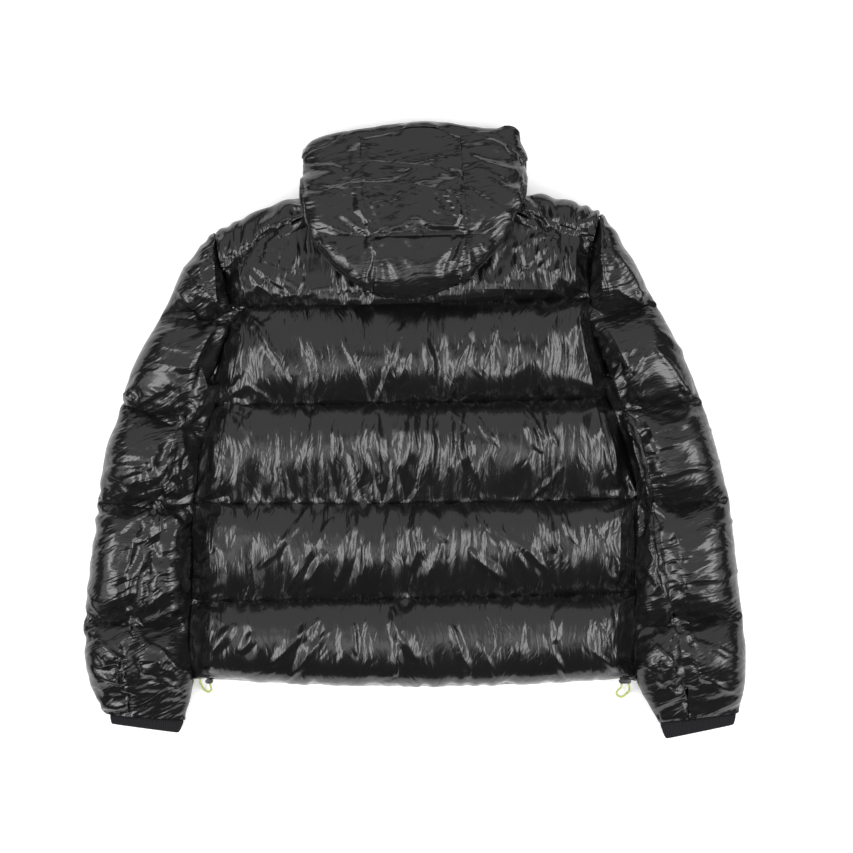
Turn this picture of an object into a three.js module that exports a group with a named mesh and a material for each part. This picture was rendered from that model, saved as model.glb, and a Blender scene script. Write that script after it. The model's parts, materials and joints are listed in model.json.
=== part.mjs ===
import * as THREE from 'three';

// A hooded puffer jacket that lies on its front, seen from the back.
// Millimetres. X runs to the jacket's right as seen, Y towards the hood, Z up from the surface.

// Driving sizes
const SEAM_GAP = 0.3;
const SIDE_GAP = 2;
const SLIT = 1;
const MID = 32;
const CREASE_RISE = 13;
const BACK_RISE = 45;
const SLEEVE_RISE = 43;
const SHOULDER_RISE = 34;
const EDGE_LIP = 2;
const TOP_ROUND = 40;
const FLOOR_ROUND = 30;
const SEAM_ROUND = 26;
const EDGE_WALL = 22;
const YOKE_SEAM_Y = 208;
const ZIP_HALF = 4;
const ZIP_TOP = 300;
const CUFF_WALL = 4.3;
const CUFF_LOW = 7;
const CUFF_HIGH = 19;
const CORD_DIAMETER = 3;
const HEM_Y = -323;
const HEM_BOW = -11;
const HEM_BAFFLE = 112;
const NECK_Y = 285;
const LEFT_TOP_Y = 208;
const RIGHT_TOP_Y = 243;
const ARMHOLE_FROM_Y = 118;
const ARMHOLE_FULL_Y = 142;
const HOOD_SEAM_DIP = 5;
const BULGE_SEAM_DIP = 9;
const HOOD_SIDE_DIP = 3;
const HOOD_SIDE_WALL = 16;
const CUFF_STEPS = 8;
const CUFF_ANGLES = [45, 0, -45];
const CHIN_ROUND = 14;
const CHIN_FREE_Y = 320;
const CHIN_END_OUTER_Y = 360;
const CHIN_END_INNER_Y = 386;
const BRIM_END_TOP = 34;
const ZIP_LOW = -331;
const ZIP_THICKNESS = 2.5;
const ZIP_MIDDLE_Z = 9.5;
const SLIDER_THICKNESS = 5;
const SLIDER_Z = 2.95;
const SLIDER_BELOW_TOP = 12;
const CORD_SIDES = 8;
const CORD_STEPS = 14;
const CORD_END_CORNER = 2;

// Ellipse in which the hood presses on the yoke, and how steeply the yoke rises round it
const PRESS = { x: -4, halfWidth: 178, halfLength: 148, slope: 55, leftPower: 2, rightPower: 1.7 };

// Heights of the hood where it lies on the yoke and where it lies on the chin pieces
const YOKE_PRESS = 60;
const HOOD_ON_YOKE = 60.4;
const CHIN_TOP = 16;
const HOOD_ON_CHIN = 16.6;

const NYLON = { color: 0x0a0a0c, roughness: 0.22, metalness: 0 };
const RIB = { color: 0x121213, roughness: 0.95, metalness: 0 };
const ELASTIC = { color: 0xc4d56a, roughness: 0.7, metalness: 0 };
const PLASTIC = { color: 0x0c0c0d, roughness: 0.45, metalness: 0 };

// Body edge: x of the left and right side seam and armhole at each y
const FLANKS = [
  { y: -383, left: -299, right: 312 },
  { y: -349, left: -281, right: 288 },
  { y: -335, left: -281, right: 281 },
  { y: -324, left: -288, right: 281 },
  { y: -293, left: -294, right: 283 },
  { y: -241, left: -294, right: 285 },
  { y: -216, left: -289, right: 287 },
  { y: -189, left: -291, right: 285 },
  { y: -124, left: -291, right: 285 },
  { y: -95, left: -289, right: 290 },
  { y: -66, left: -288, right: 288 },
  { y: -33, left: -283, right: 276 },
  { y: -1, left: -274, right: 266 },
  { y: 36, left: -265, right: 256 },
  { y: 64, left: -260, right: 249 },
  { y: 94, left: -255, right: 239 },
  { y: 123, left: -245, right: 229 },
  { y: 145, left: -240, right: 226 },
  { y: 166, left: -241, right: 225 },
  { y: 185, left: -245, right: 224 },
  { y: 208, left: -252, right: 224 },
  { y: 235, left: -258, right: 227 },
  { y: 257, left: -261, right: 232 },
  { y: 283, left: -264, right: 239 },
];

// Quilting seams of the back from hem to yoke: y at each side, and how far the middle bows
const BACK_SEAMS = [
  { leftY: HEM_Y, rightY: HEM_Y, bow: HEM_BOW },
  { leftY: -222, rightY: -211, bow: -2 },
  { leftY: -95, rightY: -89, bow: -3 },
  { leftY: 32, rightY: 42, bow: -2 },
  { leftY: 159, rightY: 172, bow: -2 },
];

// Top edge of the back: yoke seam at the left, neck, yoke seam at the right
const BACK_TOP = [
  { x: -252, y: 208 },
  { x: -233, y: 224 },
  { x: -216, y: 235 },
  { x: -192, y: 252 },
  { x: -153, y: 272 },
  { x: -98, y: 296 },
  { x: -66, y: 291 },
  { x: -33, y: 288 },
  { x: 0, y: 287 },
  { x: 31, y: 288 },
  { x: 62, y: 292 },
  { x: 90, y: 298 },
  { x: 138, y: 277 },
  { x: 188, y: 256 },
  { x: 207, y: 250 },
  { x: 228, y: 243 },
];

// Shoulder pieces from armhole to neck: yoke seam, and fold of the shoulder
const SHOULDER_LEFT = [
  { seamX: -252, seamY: 208, foldX: -261, foldY: 257 },
  { seamX: -233, seamY: 224, foldX: -249, foldY: 267 },
  { seamX: -216, seamY: 235, foldX: -224, foldY: 276 },
  { seamX: -192, seamY: 252, foldX: -194, foldY: 291 },
  { seamX: -153, seamY: 272, foldX: -149, foldY: 305 },
  { seamX: -98, seamY: 296, foldX: -95, foldY: 308 },
];
const SHOULDER_RIGHT = [
  { seamX: 228, seamY: 243, foldX: 239, foldY: 283 },
  { seamX: 207, seamY: 250, foldX: 219, foldY: 293 },
  { seamX: 188, seamY: 256, foldX: 194, foldY: 299 },
  { seamX: 138, seamY: 277, foldX: 145, foldY: 310 },
  { seamX: 90, seamY: 298, foldX: 94, foldY: 310 },
];
const NECK_FRONT_X = 60;

// Sleeve stations: w counts quilting seams from the armhole (0) to the cuff (5).
// outer is the sleeve's outline, seam its back seam, innerY the height on the body's side.
const SLEEVE_LEFT = [
  { w: 0, outerX: -264, outerY: 256, seamX: -261, seamY: 247, innerY: 247 },
  { w: 0.25, outerX: -281, outerY: 236, seamX: -257, seamY: 223, innerY: 223 },
  { w: 0.5, outerX: -304, outerY: 213, seamX: -249, seamY: 200, innerY: 200 },
  { w: 0.75, outerX: -323, outerY: 181, seamX: -241, seamY: 171, innerY: 171 },
  { w: 0.95, outerX: -332, outerY: 153, seamX: -239, seamY: 147, innerY: 147 },
  { w: 1, outerX: -335, outerY: 146, seamX: -239, seamY: 141, innerY: 141 },
  { w: 1.05, outerX: -343, outerY: 140, seamX: -240, seamY: 136, innerY: 136 },
  { w: 1.25, outerX: -357, outerY: 116, seamX: -252, seamY: 110, innerY: 107 },
  { w: 1.5, outerX: -369, outerY: 88, seamX: -267, seamY: 80, innerY: 75 },
  { w: 1.75, outerX: -382, outerY: 55, seamX: -284, seamY: 42, innerY: 36 },
  { w: 1.95, outerX: -388, outerY: 40, seamX: -304, seamY: 11, innerY: 3 },
  { w: 2, outerX: -384, outerY: 33, seamX: -309, seamY: 3, innerY: -5 },
  { w: 2.05, outerX: -393, outerY: 25, seamX: -310, seamY: -2, innerY: -11 },
  { w: 2.5, outerX: -408, outerY: -40, seamX: -322, seamY: -45, innerY: -50 },
  { w: 3, outerX: -417, outerY: -94, seamX: -337, seamY: -103, innerY: -100 },
  { w: 3.5, outerX: -424, outerY: -163, seamX: -356, seamY: -170, innerY: -170 },
  { w: 4, outerX: -435, outerY: -250, seamX: -369, seamY: -254, innerY: -258 },
  { w: 4.25, outerX: -434, outerY: -280, seamX: -372, seamY: -283, innerY: -284 },
  { w: 4.5, outerX: -431, outerY: -314, seamX: -374, seamY: -313, innerY: -318 },
  { w: 4.75, outerX: -424, outerY: -348, seamX: -375, seamY: -344, innerY: -349 },
  { w: 5, outerX: -406, outerY: -372, seamX: -374, seamY: -374.4, innerY: -380 },
];
const SLEEVE_RIGHT = [
  { w: 0, outerX: 242, outerY: 281, seamX: 238, seamY: 271, innerY: 271 },
  { w: 0.25, outerX: 262, outerY: 255, seamX: 231, seamY: 246, innerY: 246 },
  { w: 0.5, outerX: 283, outerY: 220, seamX: 226, seamY: 218, innerY: 218 },
  { w: 0.75, outerX: 301, outerY: 190, seamX: 224, seamY: 187, innerY: 187 },
  { w: 0.95, outerX: 313, outerY: 171, seamX: 226, seamY: 150, innerY: 150 },
  { w: 1, outerX: 315, outerY: 166, seamX: 227, seamY: 141, innerY: 141 },
  { w: 1.05, outerX: 322, outerY: 159, seamX: 228, seamY: 133, innerY: 133 },
  { w: 1.25, outerX: 333, outerY: 135, seamX: 236, seamY: 112, innerY: 109 },
  { w: 1.5, outerX: 349, outerY: 102, seamX: 252, seamY: 85, innerY: 80 },
  { w: 1.75, outerX: 366, outerY: 63, seamX: 264, seamY: 55, innerY: 51 },
  { w: 1.95, outerX: 374, outerY: 44, seamX: 271, seamY: 33, innerY: 29 },
  { w: 2, outerX: 375, outerY: 38, seamX: 273, seamY: 25, innerY: 21 },
  { w: 2.05, outerX: 378, outerY: 32, seamX: 276, seamY: 16, innerY: 14 },
  { w: 2.5, outerX: 393, outerY: -27, seamX: 290, seamY: -29, innerY: -32 },
  { w: 3, outerX: 410, outerY: -89, seamX: 309, seamY: -107, innerY: -105 },
  { w: 3.5, outerX: 418, outerY: -163, seamX: 322, seamY: -183, innerY: -180 },
  { w: 4, outerX: 428, outerY: -241, seamX: 336, seamY: -254, innerY: -257 },
  { w: 4.25, outerX: 431, outerY: -275, seamX: 343, seamY: -283, innerY: -287 },
  { w: 4.5, outerX: 434, outerY: -313, seamX: 348, seamY: -319, innerY: -318 },
  { w: 4.75, outerX: 431, outerY: -350, seamX: 353, seamY: -350, innerY: -349 },
  { w: 5, outerX: 422, outerY: -370, seamX: 356, seamY: -377.9, innerY: -383 },
];
const UNDER_SLEEVE_START = 1.63;
const SLEEVE_SEAMS = 5;

// Cuffs: corners of the part that shows below the sleeve
const CUFFS = {
  left: {
    topOuter: [-402, -372.7], topInner: [-303, -380.1], lowOuter: [-400, -385], lowInner: [-310, -397],
  },
  right: {
    topOuter: [419, -370.8], topInner: [317, -383.1], lowOuter: [416, -386], lowInner: [325, -405],
  },
};

// Hood stations from the brim to the bulge over the yoke: left edge, left seam, right seam,
// right edge, then the height of the top, and of the inside of the upper layer
const HOOD = [
  { lx: -148, ly: 352, ax: -73, ay: 379, bx: 57, by: 381, rx: 142, ry: 348, top: 44, inside: 5 },
  { lx: -150, ly: 338, ax: -72, ay: 355, bx: 59, by: 357, rx: 144, ry: 338, top: 60, inside: 5 },
  { lx: -151, ly: 326, ax: -71, ay: 330, bx: 60, by: 332, rx: 145, ry: 328, top: 76, inside: 17.5 },
  { lx: -151, ly: 313, ax: -70, ay: 312, bx: 62, by: 313, rx: 143, ry: 315, top: 90, inside: 34 },
  { lx: -151, ly: 292, ax: -67, ay: 290, bx: 63, by: 292, rx: 141, ry: 292, top: 102, inside: 84 },
  { lx: -150, ly: 268, ax: -62, ay: 261, bx: 66, by: 266, rx: 127, ry: 266, top: 110, inside: 85 },
  { lx: -143, ly: 250, ax: -55, ay: 247, bx: 66, by: 250, rx: 118, ry: 250, top: 104, inside: 85 },
  { lx: -136, ly: 236, ax: -53, ay: 236, bx: 64, by: 236, rx: 109, ry: 236, top: 114, inside: 85 },
  { lx: -119, ly: 215, ax: -51, ay: 215, bx: 61, by: 218, rx: 95, ry: 217, top: 117, inside: 85 },
  { lx: -96, ly: 193, ax: -52, ay: 197, bx: 58, by: 203, rx: 78, ry: 200, top: 112, inside: 85 },
  { lx: -74, ly: 178, ax: -54, ay: 183, bx: 57, by: 194, rx: 66, ry: 190, top: 101, inside: 85 },
  { lx: -60, ly: 174, ax: -56, ay: 176, bx: 57, by: 189, rx: 61, ry: 187, top: 92, inside: 85 },
];
// Past the last station: the fold of the bulge, then the layer that lies on the yoke
const BULGE = [
  { back: -3, height: 83 },
  { back: -2, height: 74 },
  { back: 4, height: 66 },
  { back: 14, height: 61.5 },
  { back: 30, height: 60.4 },
  { back: 65, height: 60.4 },
];
const BULGE_DROP = 15;
const BULGE_WALL = 18;
const INNER_INSET = 0.8;
const HOOD_MID = 85;
const HOOD_FOLD_Y = 330;
const HOOD_NECK_X = 92;

// Brim: points of the seam and of the outer edge, left to right
const BRIM = [
  { seamX: -148, seamY: 352, edgeX: -151.5, edgeY: 357 },
  { seamX: -146.5, seamY: 354.5, edgeX: -152, edgeY: 366 },
  { seamX: -142, seamY: 359, edgeX: -152, edgeY: 376 },
  { seamX: -134, seamY: 364.5, edgeX: -146, edgeY: 383 },
  { seamX: -121, seamY: 371, edgeX: -132, edgeY: 386 },
  { seamX: -107, seamY: 375, edgeX: -115, edgeY: 388 },
  { seamX: -90, seamY: 379, edgeX: -96, edgeY: 392 },
  { seamX: -73, seamY: 379, edgeX: -75, edgeY: 398 },
  { seamX: -47, seamY: 382, edgeX: -50, edgeY: 402 },
  { seamX: -15, seamY: 391, edgeX: -15, edgeY: 403 },
  { seamX: 8, seamY: 393, edgeX: 10, edgeY: 404 },
  { seamX: 27, seamY: 391, edgeX: 30, edgeY: 406 },
  { seamX: 45, seamY: 384, edgeX: 46, edgeY: 406 },
  { seamX: 57, seamY: 381, edgeX: 60, edgeY: 404 },
  { seamX: 73, seamY: 383, edgeX: 78, edgeY: 399 },
  { seamX: 89, seamY: 382, edgeX: 95, edgeY: 396 },
  { seamX: 105, seamY: 377, edgeX: 113, edgeY: 397 },
  { seamX: 119, seamY: 370, edgeX: 128, edgeY: 396 },
  { seamX: 129, seamY: 362.5, edgeX: 137, edgeY: 386 },
  { seamX: 137, seamY: 355, edgeX: 142, edgeY: 370 },
  { seamX: 142, seamY: 348, edgeX: 145.5, edgeY: 354 },
];
const BRIM_LEFT_KNOT = 7;
const BRIM_RIGHT_KNOT = 13;
const BRIM_TOP = 41;

// Drawcord loops at the hem: route from one exit round to the other, and the black cord ends
const CORD_RIGHT = [
  [267, -331.3, 32], [267, -333.6, 31.6], [266.5, -336.5, 26], [264.5, -339.5, 17],
  [262.5, -343, 8], [262.5, -347, 2.6],
  [265.5, -350.5, 1.8], [270, -350.5, 1.8], [275, -346.5, 2.8], [278, -342, 9], [278, -337.5, 19],
  [276.5, -333.8, 31.4], [276, -331.3, 32],
];
const CORD_LEFT = [
  [-282, -325.2, 32], [-282.5, -329, 26], [-281.5, -334, 15], [-279.5, -339, 6], [-276, -343.5, 2.2],
  [-272, -344, 2.2], [-269, -341, 8], [-268.5, -337, 19], [-268.5, -333.8, 30.4], [-268.5, -331.4, 31],
];
const CORD_ENDS = {
  right: { x: 271.5, width: 16, y: -327.8, depth: 6, height: 8 },
  left: { x: -270, width: 10, y: -327.8, depth: 6, height: 9 },
};

// Helpers
const mix = (a, b, t) => a + (b - a) * t;
const clamp01 = (t) => Math.min(1, Math.max(0, t));
const point = (x, y, z) => new THREE.Vector3(x, y, z);

function ease(from, to, value) {
  const t = clamp01((value - from) / (to - from));
  return t * t * (3 - 2 * t);
}

// Quarter round: 0 at an edge, 1 from the given distance inwards
function roundEdge(distance, radius) {
  const t = 1 - clamp01(distance / radius);
  return Math.sqrt(1 - t * t);
}

// Fullness of a baffle: 0 on a quilting seam, 1 half way to the next
function fullness(part) {
  return Math.sqrt(4 * part * (1 - part));
}

// Smooth curve through the rows of a table
function curveThrough(rows, keyName, valueName) {
  const keys = rows.map((row) => row[keyName]);
  const values = rows.map((row) => row[valueName]);
  const last = rows.length - 1;
  const slopes = values.map((value, i) => {
    const before = Math.max(i - 1, 0);
    const after = Math.min(i + 1, last);
    return (values[after] - values[before]) / (keys[after] - keys[before]);
  });
  return (key) => {
    let i = 0;
    while (i < last - 1 && key > keys[i + 1]) i += 1;
    const span = keys[i + 1] - keys[i];
    const t = (key - keys[i]) / span;
    const s = 1 - t;
    return values[i] * s * s * (1 + 2 * t) + slopes[i] * span * t * s * s
      + values[i + 1] * t * t * (1 + 2 * s) - slopes[i + 1] * span * s * t * t;
  };
}

const flankLeft = curveThrough(FLANKS, 'y', 'left');
const flankRight = curveThrough(FLANKS, 'y', 'right');

// Closed mesh from triangles on a list of points, faces pointing out
function closedMesh(points, triangles) {
  const position = new Float32Array(points.length * 3);
  points.forEach((p, i) => p.toArray(position, i * 3));
  let volume = 0;
  const normal = new THREE.Vector3();
  for (const [a, b, c] of triangles) {
    volume += points[a].dot(normal.crossVectors(points[b], points[c]));
  }
  const index = triangles.flatMap(([a, b, c]) => (volume > 0 ? [a, b, c] : [a, c, b]));
  const geometry = new THREE.BufferGeometry();
  geometry.setAttribute('position', new THREE.BufferAttribute(position, 3));
  geometry.setIndex(index);
  geometry.computeVertexNormals();
  return geometry;
}

// A wall between two grids of points with the same rows and columns
function wall(outer, inner, ring = false) {
  const rows = outer.length;
  const columns = outer[0].length;
  const points = [...outer.flat(), ...inner.flat()];
  const out = (r, c) => r * columns + (c % columns);
  const inn = (r, c) => rows * columns + out(r, c);
  const triangles = [];
  const quad = (a, b, c, d) => triangles.push([a, b, c], [a, c, d]);
  const across = ring ? columns : columns - 1;
  for (let r = 0; r < rows - 1; r += 1) {
    for (let c = 0; c < across; c += 1) {
      quad(out(r, c), out(r, c + 1), out(r + 1, c + 1), out(r + 1, c));
      quad(inn(r, c), inn(r + 1, c), inn(r + 1, c + 1), inn(r, c + 1));
    }
  }
  for (let c = 0; c < across; c += 1) {
    quad(out(0, c), inn(0, c), inn(0, c + 1), out(0, c + 1));
    quad(out(rows - 1, c), out(rows - 1, c + 1), inn(rows - 1, c + 1), inn(rows - 1, c));
  }
  if (!ring) {
    for (let r = 0; r < rows - 1; r += 1) {
      quad(out(r, 0), out(r + 1, 0), inn(r + 1, 0), inn(r, 0));
      quad(out(r, columns - 1), inn(r, columns - 1), inn(r + 1, columns - 1), out(r + 1, columns - 1));
    }
  }
  return closedMesh(points, triangles);
}

// A solid through closed loops of points, with flat ends
function loft(loops) {
  const size = loops[0].length;
  const points = loops.flat();
  const triangles = [];
  for (let r = 0; r < loops.length - 1; r += 1) {
    for (let c = 0; c < size; c += 1) {
      const a = r * size + c;
      const b = r * size + ((c + 1) % size);
      triangles.push([a, b, b + size], [a, b + size, a + size]);
    }
  }
  const end = (loops.length - 1) * size;
  for (let c = 1; c < size - 1; c += 1) {
    triangles.push([0, c + 1, c], [end, end + c, end + c + 1]);
  }
  return closedMesh(points, triangles);
}

const jacket = new THREE.Group();

function addPiece(name, geometry, finish) {
  const mesh = new THREE.Mesh(geometry, new THREE.MeshStandardMaterial(finish));
  mesh.name = name;
  jacket.add(mesh);
}

// The yoke is pressed flat where the hood lies on it
function pressedByHood(x, y) {
  const acrossHood = Math.abs((x - PRESS.x) / PRESS.halfWidth);
  const alongHood = Math.max(0, (NECK_Y - y) / PRESS.halfLength);
  const power = x < PRESS.x ? PRESS.leftPower : PRESS.rightPower;
  const reach = acrossHood ** power + alongHood ** power;
  return YOKE_PRESS + PRESS.slope * Math.max(0, reach - 1);
}

// Back: one panel with five baffles, on a plain inside
const BAFFLE_ROWS = [0, 0.12, 0.37, 0.63, 0.88];
const HEM_ROWS = [0, 0.03, 0.11, 0.25, 0.5, 0.75, 0.92];

function backPoint(column, seam, part) {
  const t = (BACK_TOP[column].x - BACK_TOP[0].x) / (BACK_TOP.at(-1).x - BACK_TOP[0].x);
  const seamPoint = (row) => {
    const x = mix(flankLeft(row.leftY), flankRight(row.rightY), t);
    return [x, mix(row.leftY, row.rightY, t) + row.bow * 4 * t * (1 - t)];
  };
  const low = seamPoint(BACK_SEAMS[seam]);
  const topEdge = BACK_TOP[column];
  const high = seam + 1 < BACK_SEAMS.length ? seamPoint(BACK_SEAMS[seam + 1]) : [topEdge.x, topEdge.y];
  const y = mix(low[1], high[1], part);
  const above = BACK_SEAMS[seam + 1] ?? { leftY: LEFT_TOP_Y, rightY: RIGHT_TOP_Y };
  const left = flankLeft(mix(BACK_SEAMS[seam].leftY, above.leftY, part));
  const right = flankRight(mix(BACK_SEAMS[seam].rightY, above.rightY, part));
  let x = mix(low[0], high[0], part);
  if (column === 0) x = left;
  if (column === BACK_TOP.length - 1) x = right;
  return { x, y, left, right };
}

function backPiece() {
  const outer = [];
  const inner = [];
  for (let seam = 0; seam < BACK_SEAMS.length; seam += 1) {
    const parts = seam === 0 ? HEM_ROWS : BAFFLE_ROWS;
    const rows = seam === BACK_SEAMS.length - 1 ? [...parts, 1] : parts;
    for (const part of rows) {
      const outerRow = [];
      const innerRow = [];
      for (let column = 0; column < BACK_TOP.length; column += 1) {
        const p = backPoint(column, seam, part);
        const full = seam === 0 && part < 0.5 ? 1 : fullness(part);
        const fromSide = Math.min(p.x - p.left, p.right - p.x);
        const armhole = ease(ARMHOLE_FROM_Y, ARMHOLE_FULL_Y, p.y);
        const base = mix(EDGE_LIP, CREASE_RISE, armhole);
        const round = mix(TOP_ROUND, SEAM_ROUND, armhole);
        const baffle = mix(CREASE_RISE, BACK_RISE, full);
        let rise = mix(base, Math.max(baffle, base), roundEdge(fromSide, round));
        if (seam === 0) rise = mix(EDGE_LIP, rise, roundEdge(part * HEM_BAFFLE, FLOOR_ROUND));
        const inTop = seam === BACK_SEAMS.length - 1 && part === 1 ? SEAM_GAP / 2 : 0;
        const height = Math.min(MID + rise, pressedByHood(p.x, p.y));
        outerRow.push(point(p.x, p.y - inTop, height));
        innerRow.push(point(p.x, p.y - inTop, MID + SEAM_GAP / 2));
      }
      outer.push(outerRow);
      inner.push(innerRow);
    }
  }
  return wall(outer, inner);
}

// Front: flat on the surface, rounded up to the side seam and the hem
const FRONT_COLUMNS = [0, 0.015, 0.05, 0.12, 0.4, 1];
const FRONT_EDGE_ROWS = [0, 0.006, 0.02, 0.05];
const FRONT_ROWS = 30;

function frontPiece(side) {
  const flank = side < 0 ? flankLeft : flankRight;
  const rows = [...FRONT_EDGE_ROWS];
  for (let r = 2; r <= FRONT_ROWS; r += 1) rows.push(r / FRONT_ROWS);
  const outer = [];
  const inner = [];
  for (const v of rows) {
    const outerRow = [];
    const innerRow = [];
    for (const u of FRONT_COLUMNS) {
      const hemBow = HEM_BOW * u * (1 - v) ** 2;
      const y = mix(HEM_Y, YOKE_SEAM_Y - SEAM_GAP / 2, v) + hemBow;
      const edge = flank(mix(HEM_Y, YOKE_SEAM_Y, v));
      const x = mix(edge, side * (ZIP_HALF + SEAM_GAP), u);
      const rim = Math.min(Math.abs(x - edge), v * (YOKE_SEAM_Y - HEM_Y));
      const low = (MID - EDGE_LIP) * (1 - roundEdge(rim, FLOOR_ROUND));
      outerRow.push(point(x, y, low));
      innerRow.push(point(x, y, MID - SEAM_GAP / 2));
    }
    outer.push(outerRow);
    inner.push(innerRow);
  }
  return wall(outer, inner);
}

// A padded wall that is folded at an edge: an upper layer from a seam out to the edge,
// then a lower layer back to a second seam. Each plan point is [x, y].
const UPPER_STEPS = [1, 0.8, 0.6, 0.4, 0.22, 0.1, 0.03];
const LOWER_STEPS = [0, 0.03, 0.12, 0.3, 0.6, 1];

function foldedRow(section) {
  const { edge, upperSeam, lowerSeam, middle, rise, seamRise, floor, edgeWall } = section;
  const slit = section.slit ?? SLIT;
  const outer = [];
  const inner = [];
  const reach = (seam) => Math.hypot(seam[0] - edge[0], seam[1] - edge[1]);
  const place = (seam, d) => {
    const t = d / reach(seam);
    return [mix(edge[0], seam[0], t), mix(edge[1], seam[1], t)];
  };
  const upperReach = reach(upperSeam);
  const lowerReach = reach(lowerSeam);
  const skin = Math.min(edgeWall, upperReach * 0.4, lowerReach * 0.4);
  const round = Math.min(TOP_ROUND, upperReach * 0.9);
  for (const q of UPPER_STEPS) {
    const d = q * upperReach;
    const crown = mix(seamRise, rise, roundEdge(upperReach - d, Math.min(SEAM_ROUND, upperReach / 2)));
    const [x, y] = place(upperSeam, d);
    const height = middle + crown * roundEdge(d, round);
    outer.push(point(x, y, section.limit ? Math.min(height, section.limit(x, y)) : height));
    const [ix, iy] = place(upperSeam, skin + q * (upperReach - skin));
    inner.push(point(ix, iy, middle + slit / 2));
  }
  for (const q of LOWER_STEPS) {
    const d = q * lowerReach;
    const [x, y] = place(lowerSeam, d);
    const radius = Math.min(FLOOR_ROUND, lowerReach * 0.9);
    outer.push(point(x, y, mix(middle, floor, roundEdge(d, radius))));
    const [ix, iy] = place(lowerSeam, skin + q * (lowerReach - skin));
    inner.push(point(ix, iy, q === 0 ? middle : middle - slit / 2));
  }
  return { outer, inner };
}

function foldedWall(sections) {
  const rows = sections.map(foldedRow);
  return wall(rows.map((row) => row.outer), rows.map((row) => row.inner));
}

// Shoulder: over the fold of the shoulder, from the yoke seam to the front's top seam
function shoulderPiece(side) {
  const table = side < 0 ? SHOULDER_LEFT : SHOULDER_RIGHT;
  const last = table.length - 1;
  const sections = table.map((row, i) => {
    const t = i / last;
    const lowX = mix(side < 0 ? -252 : 224, side * NECK_FRONT_X, t);
    return {
      edge: [row.foldX, row.foldY],
      upperSeam: [row.seamX, row.seamY + SEAM_GAP / 2],
      lowerSeam: [lowX, YOKE_SEAM_Y + SEAM_GAP / 2],
      middle: MID,
      rise: mix(SHOULDER_RISE * 0.75, SHOULDER_RISE, fullness(0.15 + 0.7 * t)),
      seamRise: CREASE_RISE,
      floor: 0,
      edgeWall: EDGE_WALL,
      limit: pressedByHood,
    };
  });
  const rows = sections.map(foldedRow);
  const flank = side < 0 ? flankLeft : flankRight;
  for (const p of [...rows[0].outer, ...rows[0].inner]) p.x = flank(p.y);
  return wall(rows.map((row) => row.outer), rows.map((row) => row.inner));
}

// Sleeve: the top sleeve folds round the outline, the under sleeve lies beside the body
function sleeveStations(from) {
  const stations = [];
  for (let seam = 0; seam < SLEEVE_SEAMS; seam += 1) {
    for (const part of BAFFLE_ROWS) {
      if (seam + part > from + 0.001) stations.push(seam + part);
    }
  }
  return [from, ...stations, SLEEVE_SEAMS];
}

function sleeveSection(side, w) {
  const table = side < 0 ? SLEEVE_LEFT : SLEEVE_RIGHT;
  const flank = side < 0 ? flankLeft : flankRight;
  const read = (name) => curveThrough(table, 'w', name)(w);
  const innerY = read('innerY');
  const besideHem = 2.5 * ease(-285, -318, innerY);
  const inner = [flank(innerY) + side * (SIDE_GAP + besideHem), innerY];
  const seamY = read('seamY');
  const free = ease(1.05, UNDER_SLEEVE_START, w);
  const onArmhole = flank(seamY) + side * (SEAM_GAP + ease(160, 145, seamY));
  const seam = [mix(onArmhole, read('seamX'), free), seamY];
  const outer = [read('outerX'), read('outerY')];
  const centre = [(outer[0] + inner[0]) / 2, (outer[1] + inner[1]) / 2];
  const under = ease(1.1, 2.2, w);
  const floorSeam = [mix(seam[0], centre[0], under), mix(seam[1], centre[1], under)];
  const nearCuff = ease(4.35, 5, w);
  const head = mix(0.55, 1, ease(0, 0.45, w));
  const atEnd = w > SLEEVE_SEAMS - 0.5 || w < 0.5;
  const full = atEnd ? 1 : fullness(w % 1);
  const rise = mix(mix(CREASE_RISE, SLEEVE_RISE * head, full), 12, nearCuff);
  return {
    inner, seam, outer, floorSeam, rise,
    middle: mix(MID, 14, nearCuff),
    slit: SLIT + 2.5 * ease(4.1, 4.5, w),
    seamRise: mix(CREASE_RISE, 9, nearCuff),
  };
}

function sleevePiece(side, isTop) {
  const stations = sleeveStations(isTop ? 0 : UNDER_SLEEVE_START);
  return foldedWall(stations.map((w) => {
    const s = sleeveSection(side, w);
    const edge = isTop ? s.outer : s.inner;
    const shift = (isTop ? side : -side) * SEAM_GAP / 2;
    return {
      edge,
      upperSeam: [s.seam[0] + shift, s.seam[1]],
      lowerSeam: [s.floorSeam[0] + shift, s.floorSeam[1]],
      middle: s.middle,
      slit: s.slit,
      rise: s.rise,
      seamRise: Math.min(s.seamRise, s.rise),
      floor: 0,
      edgeWall: EDGE_WALL,
    };
  }));
}

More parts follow.
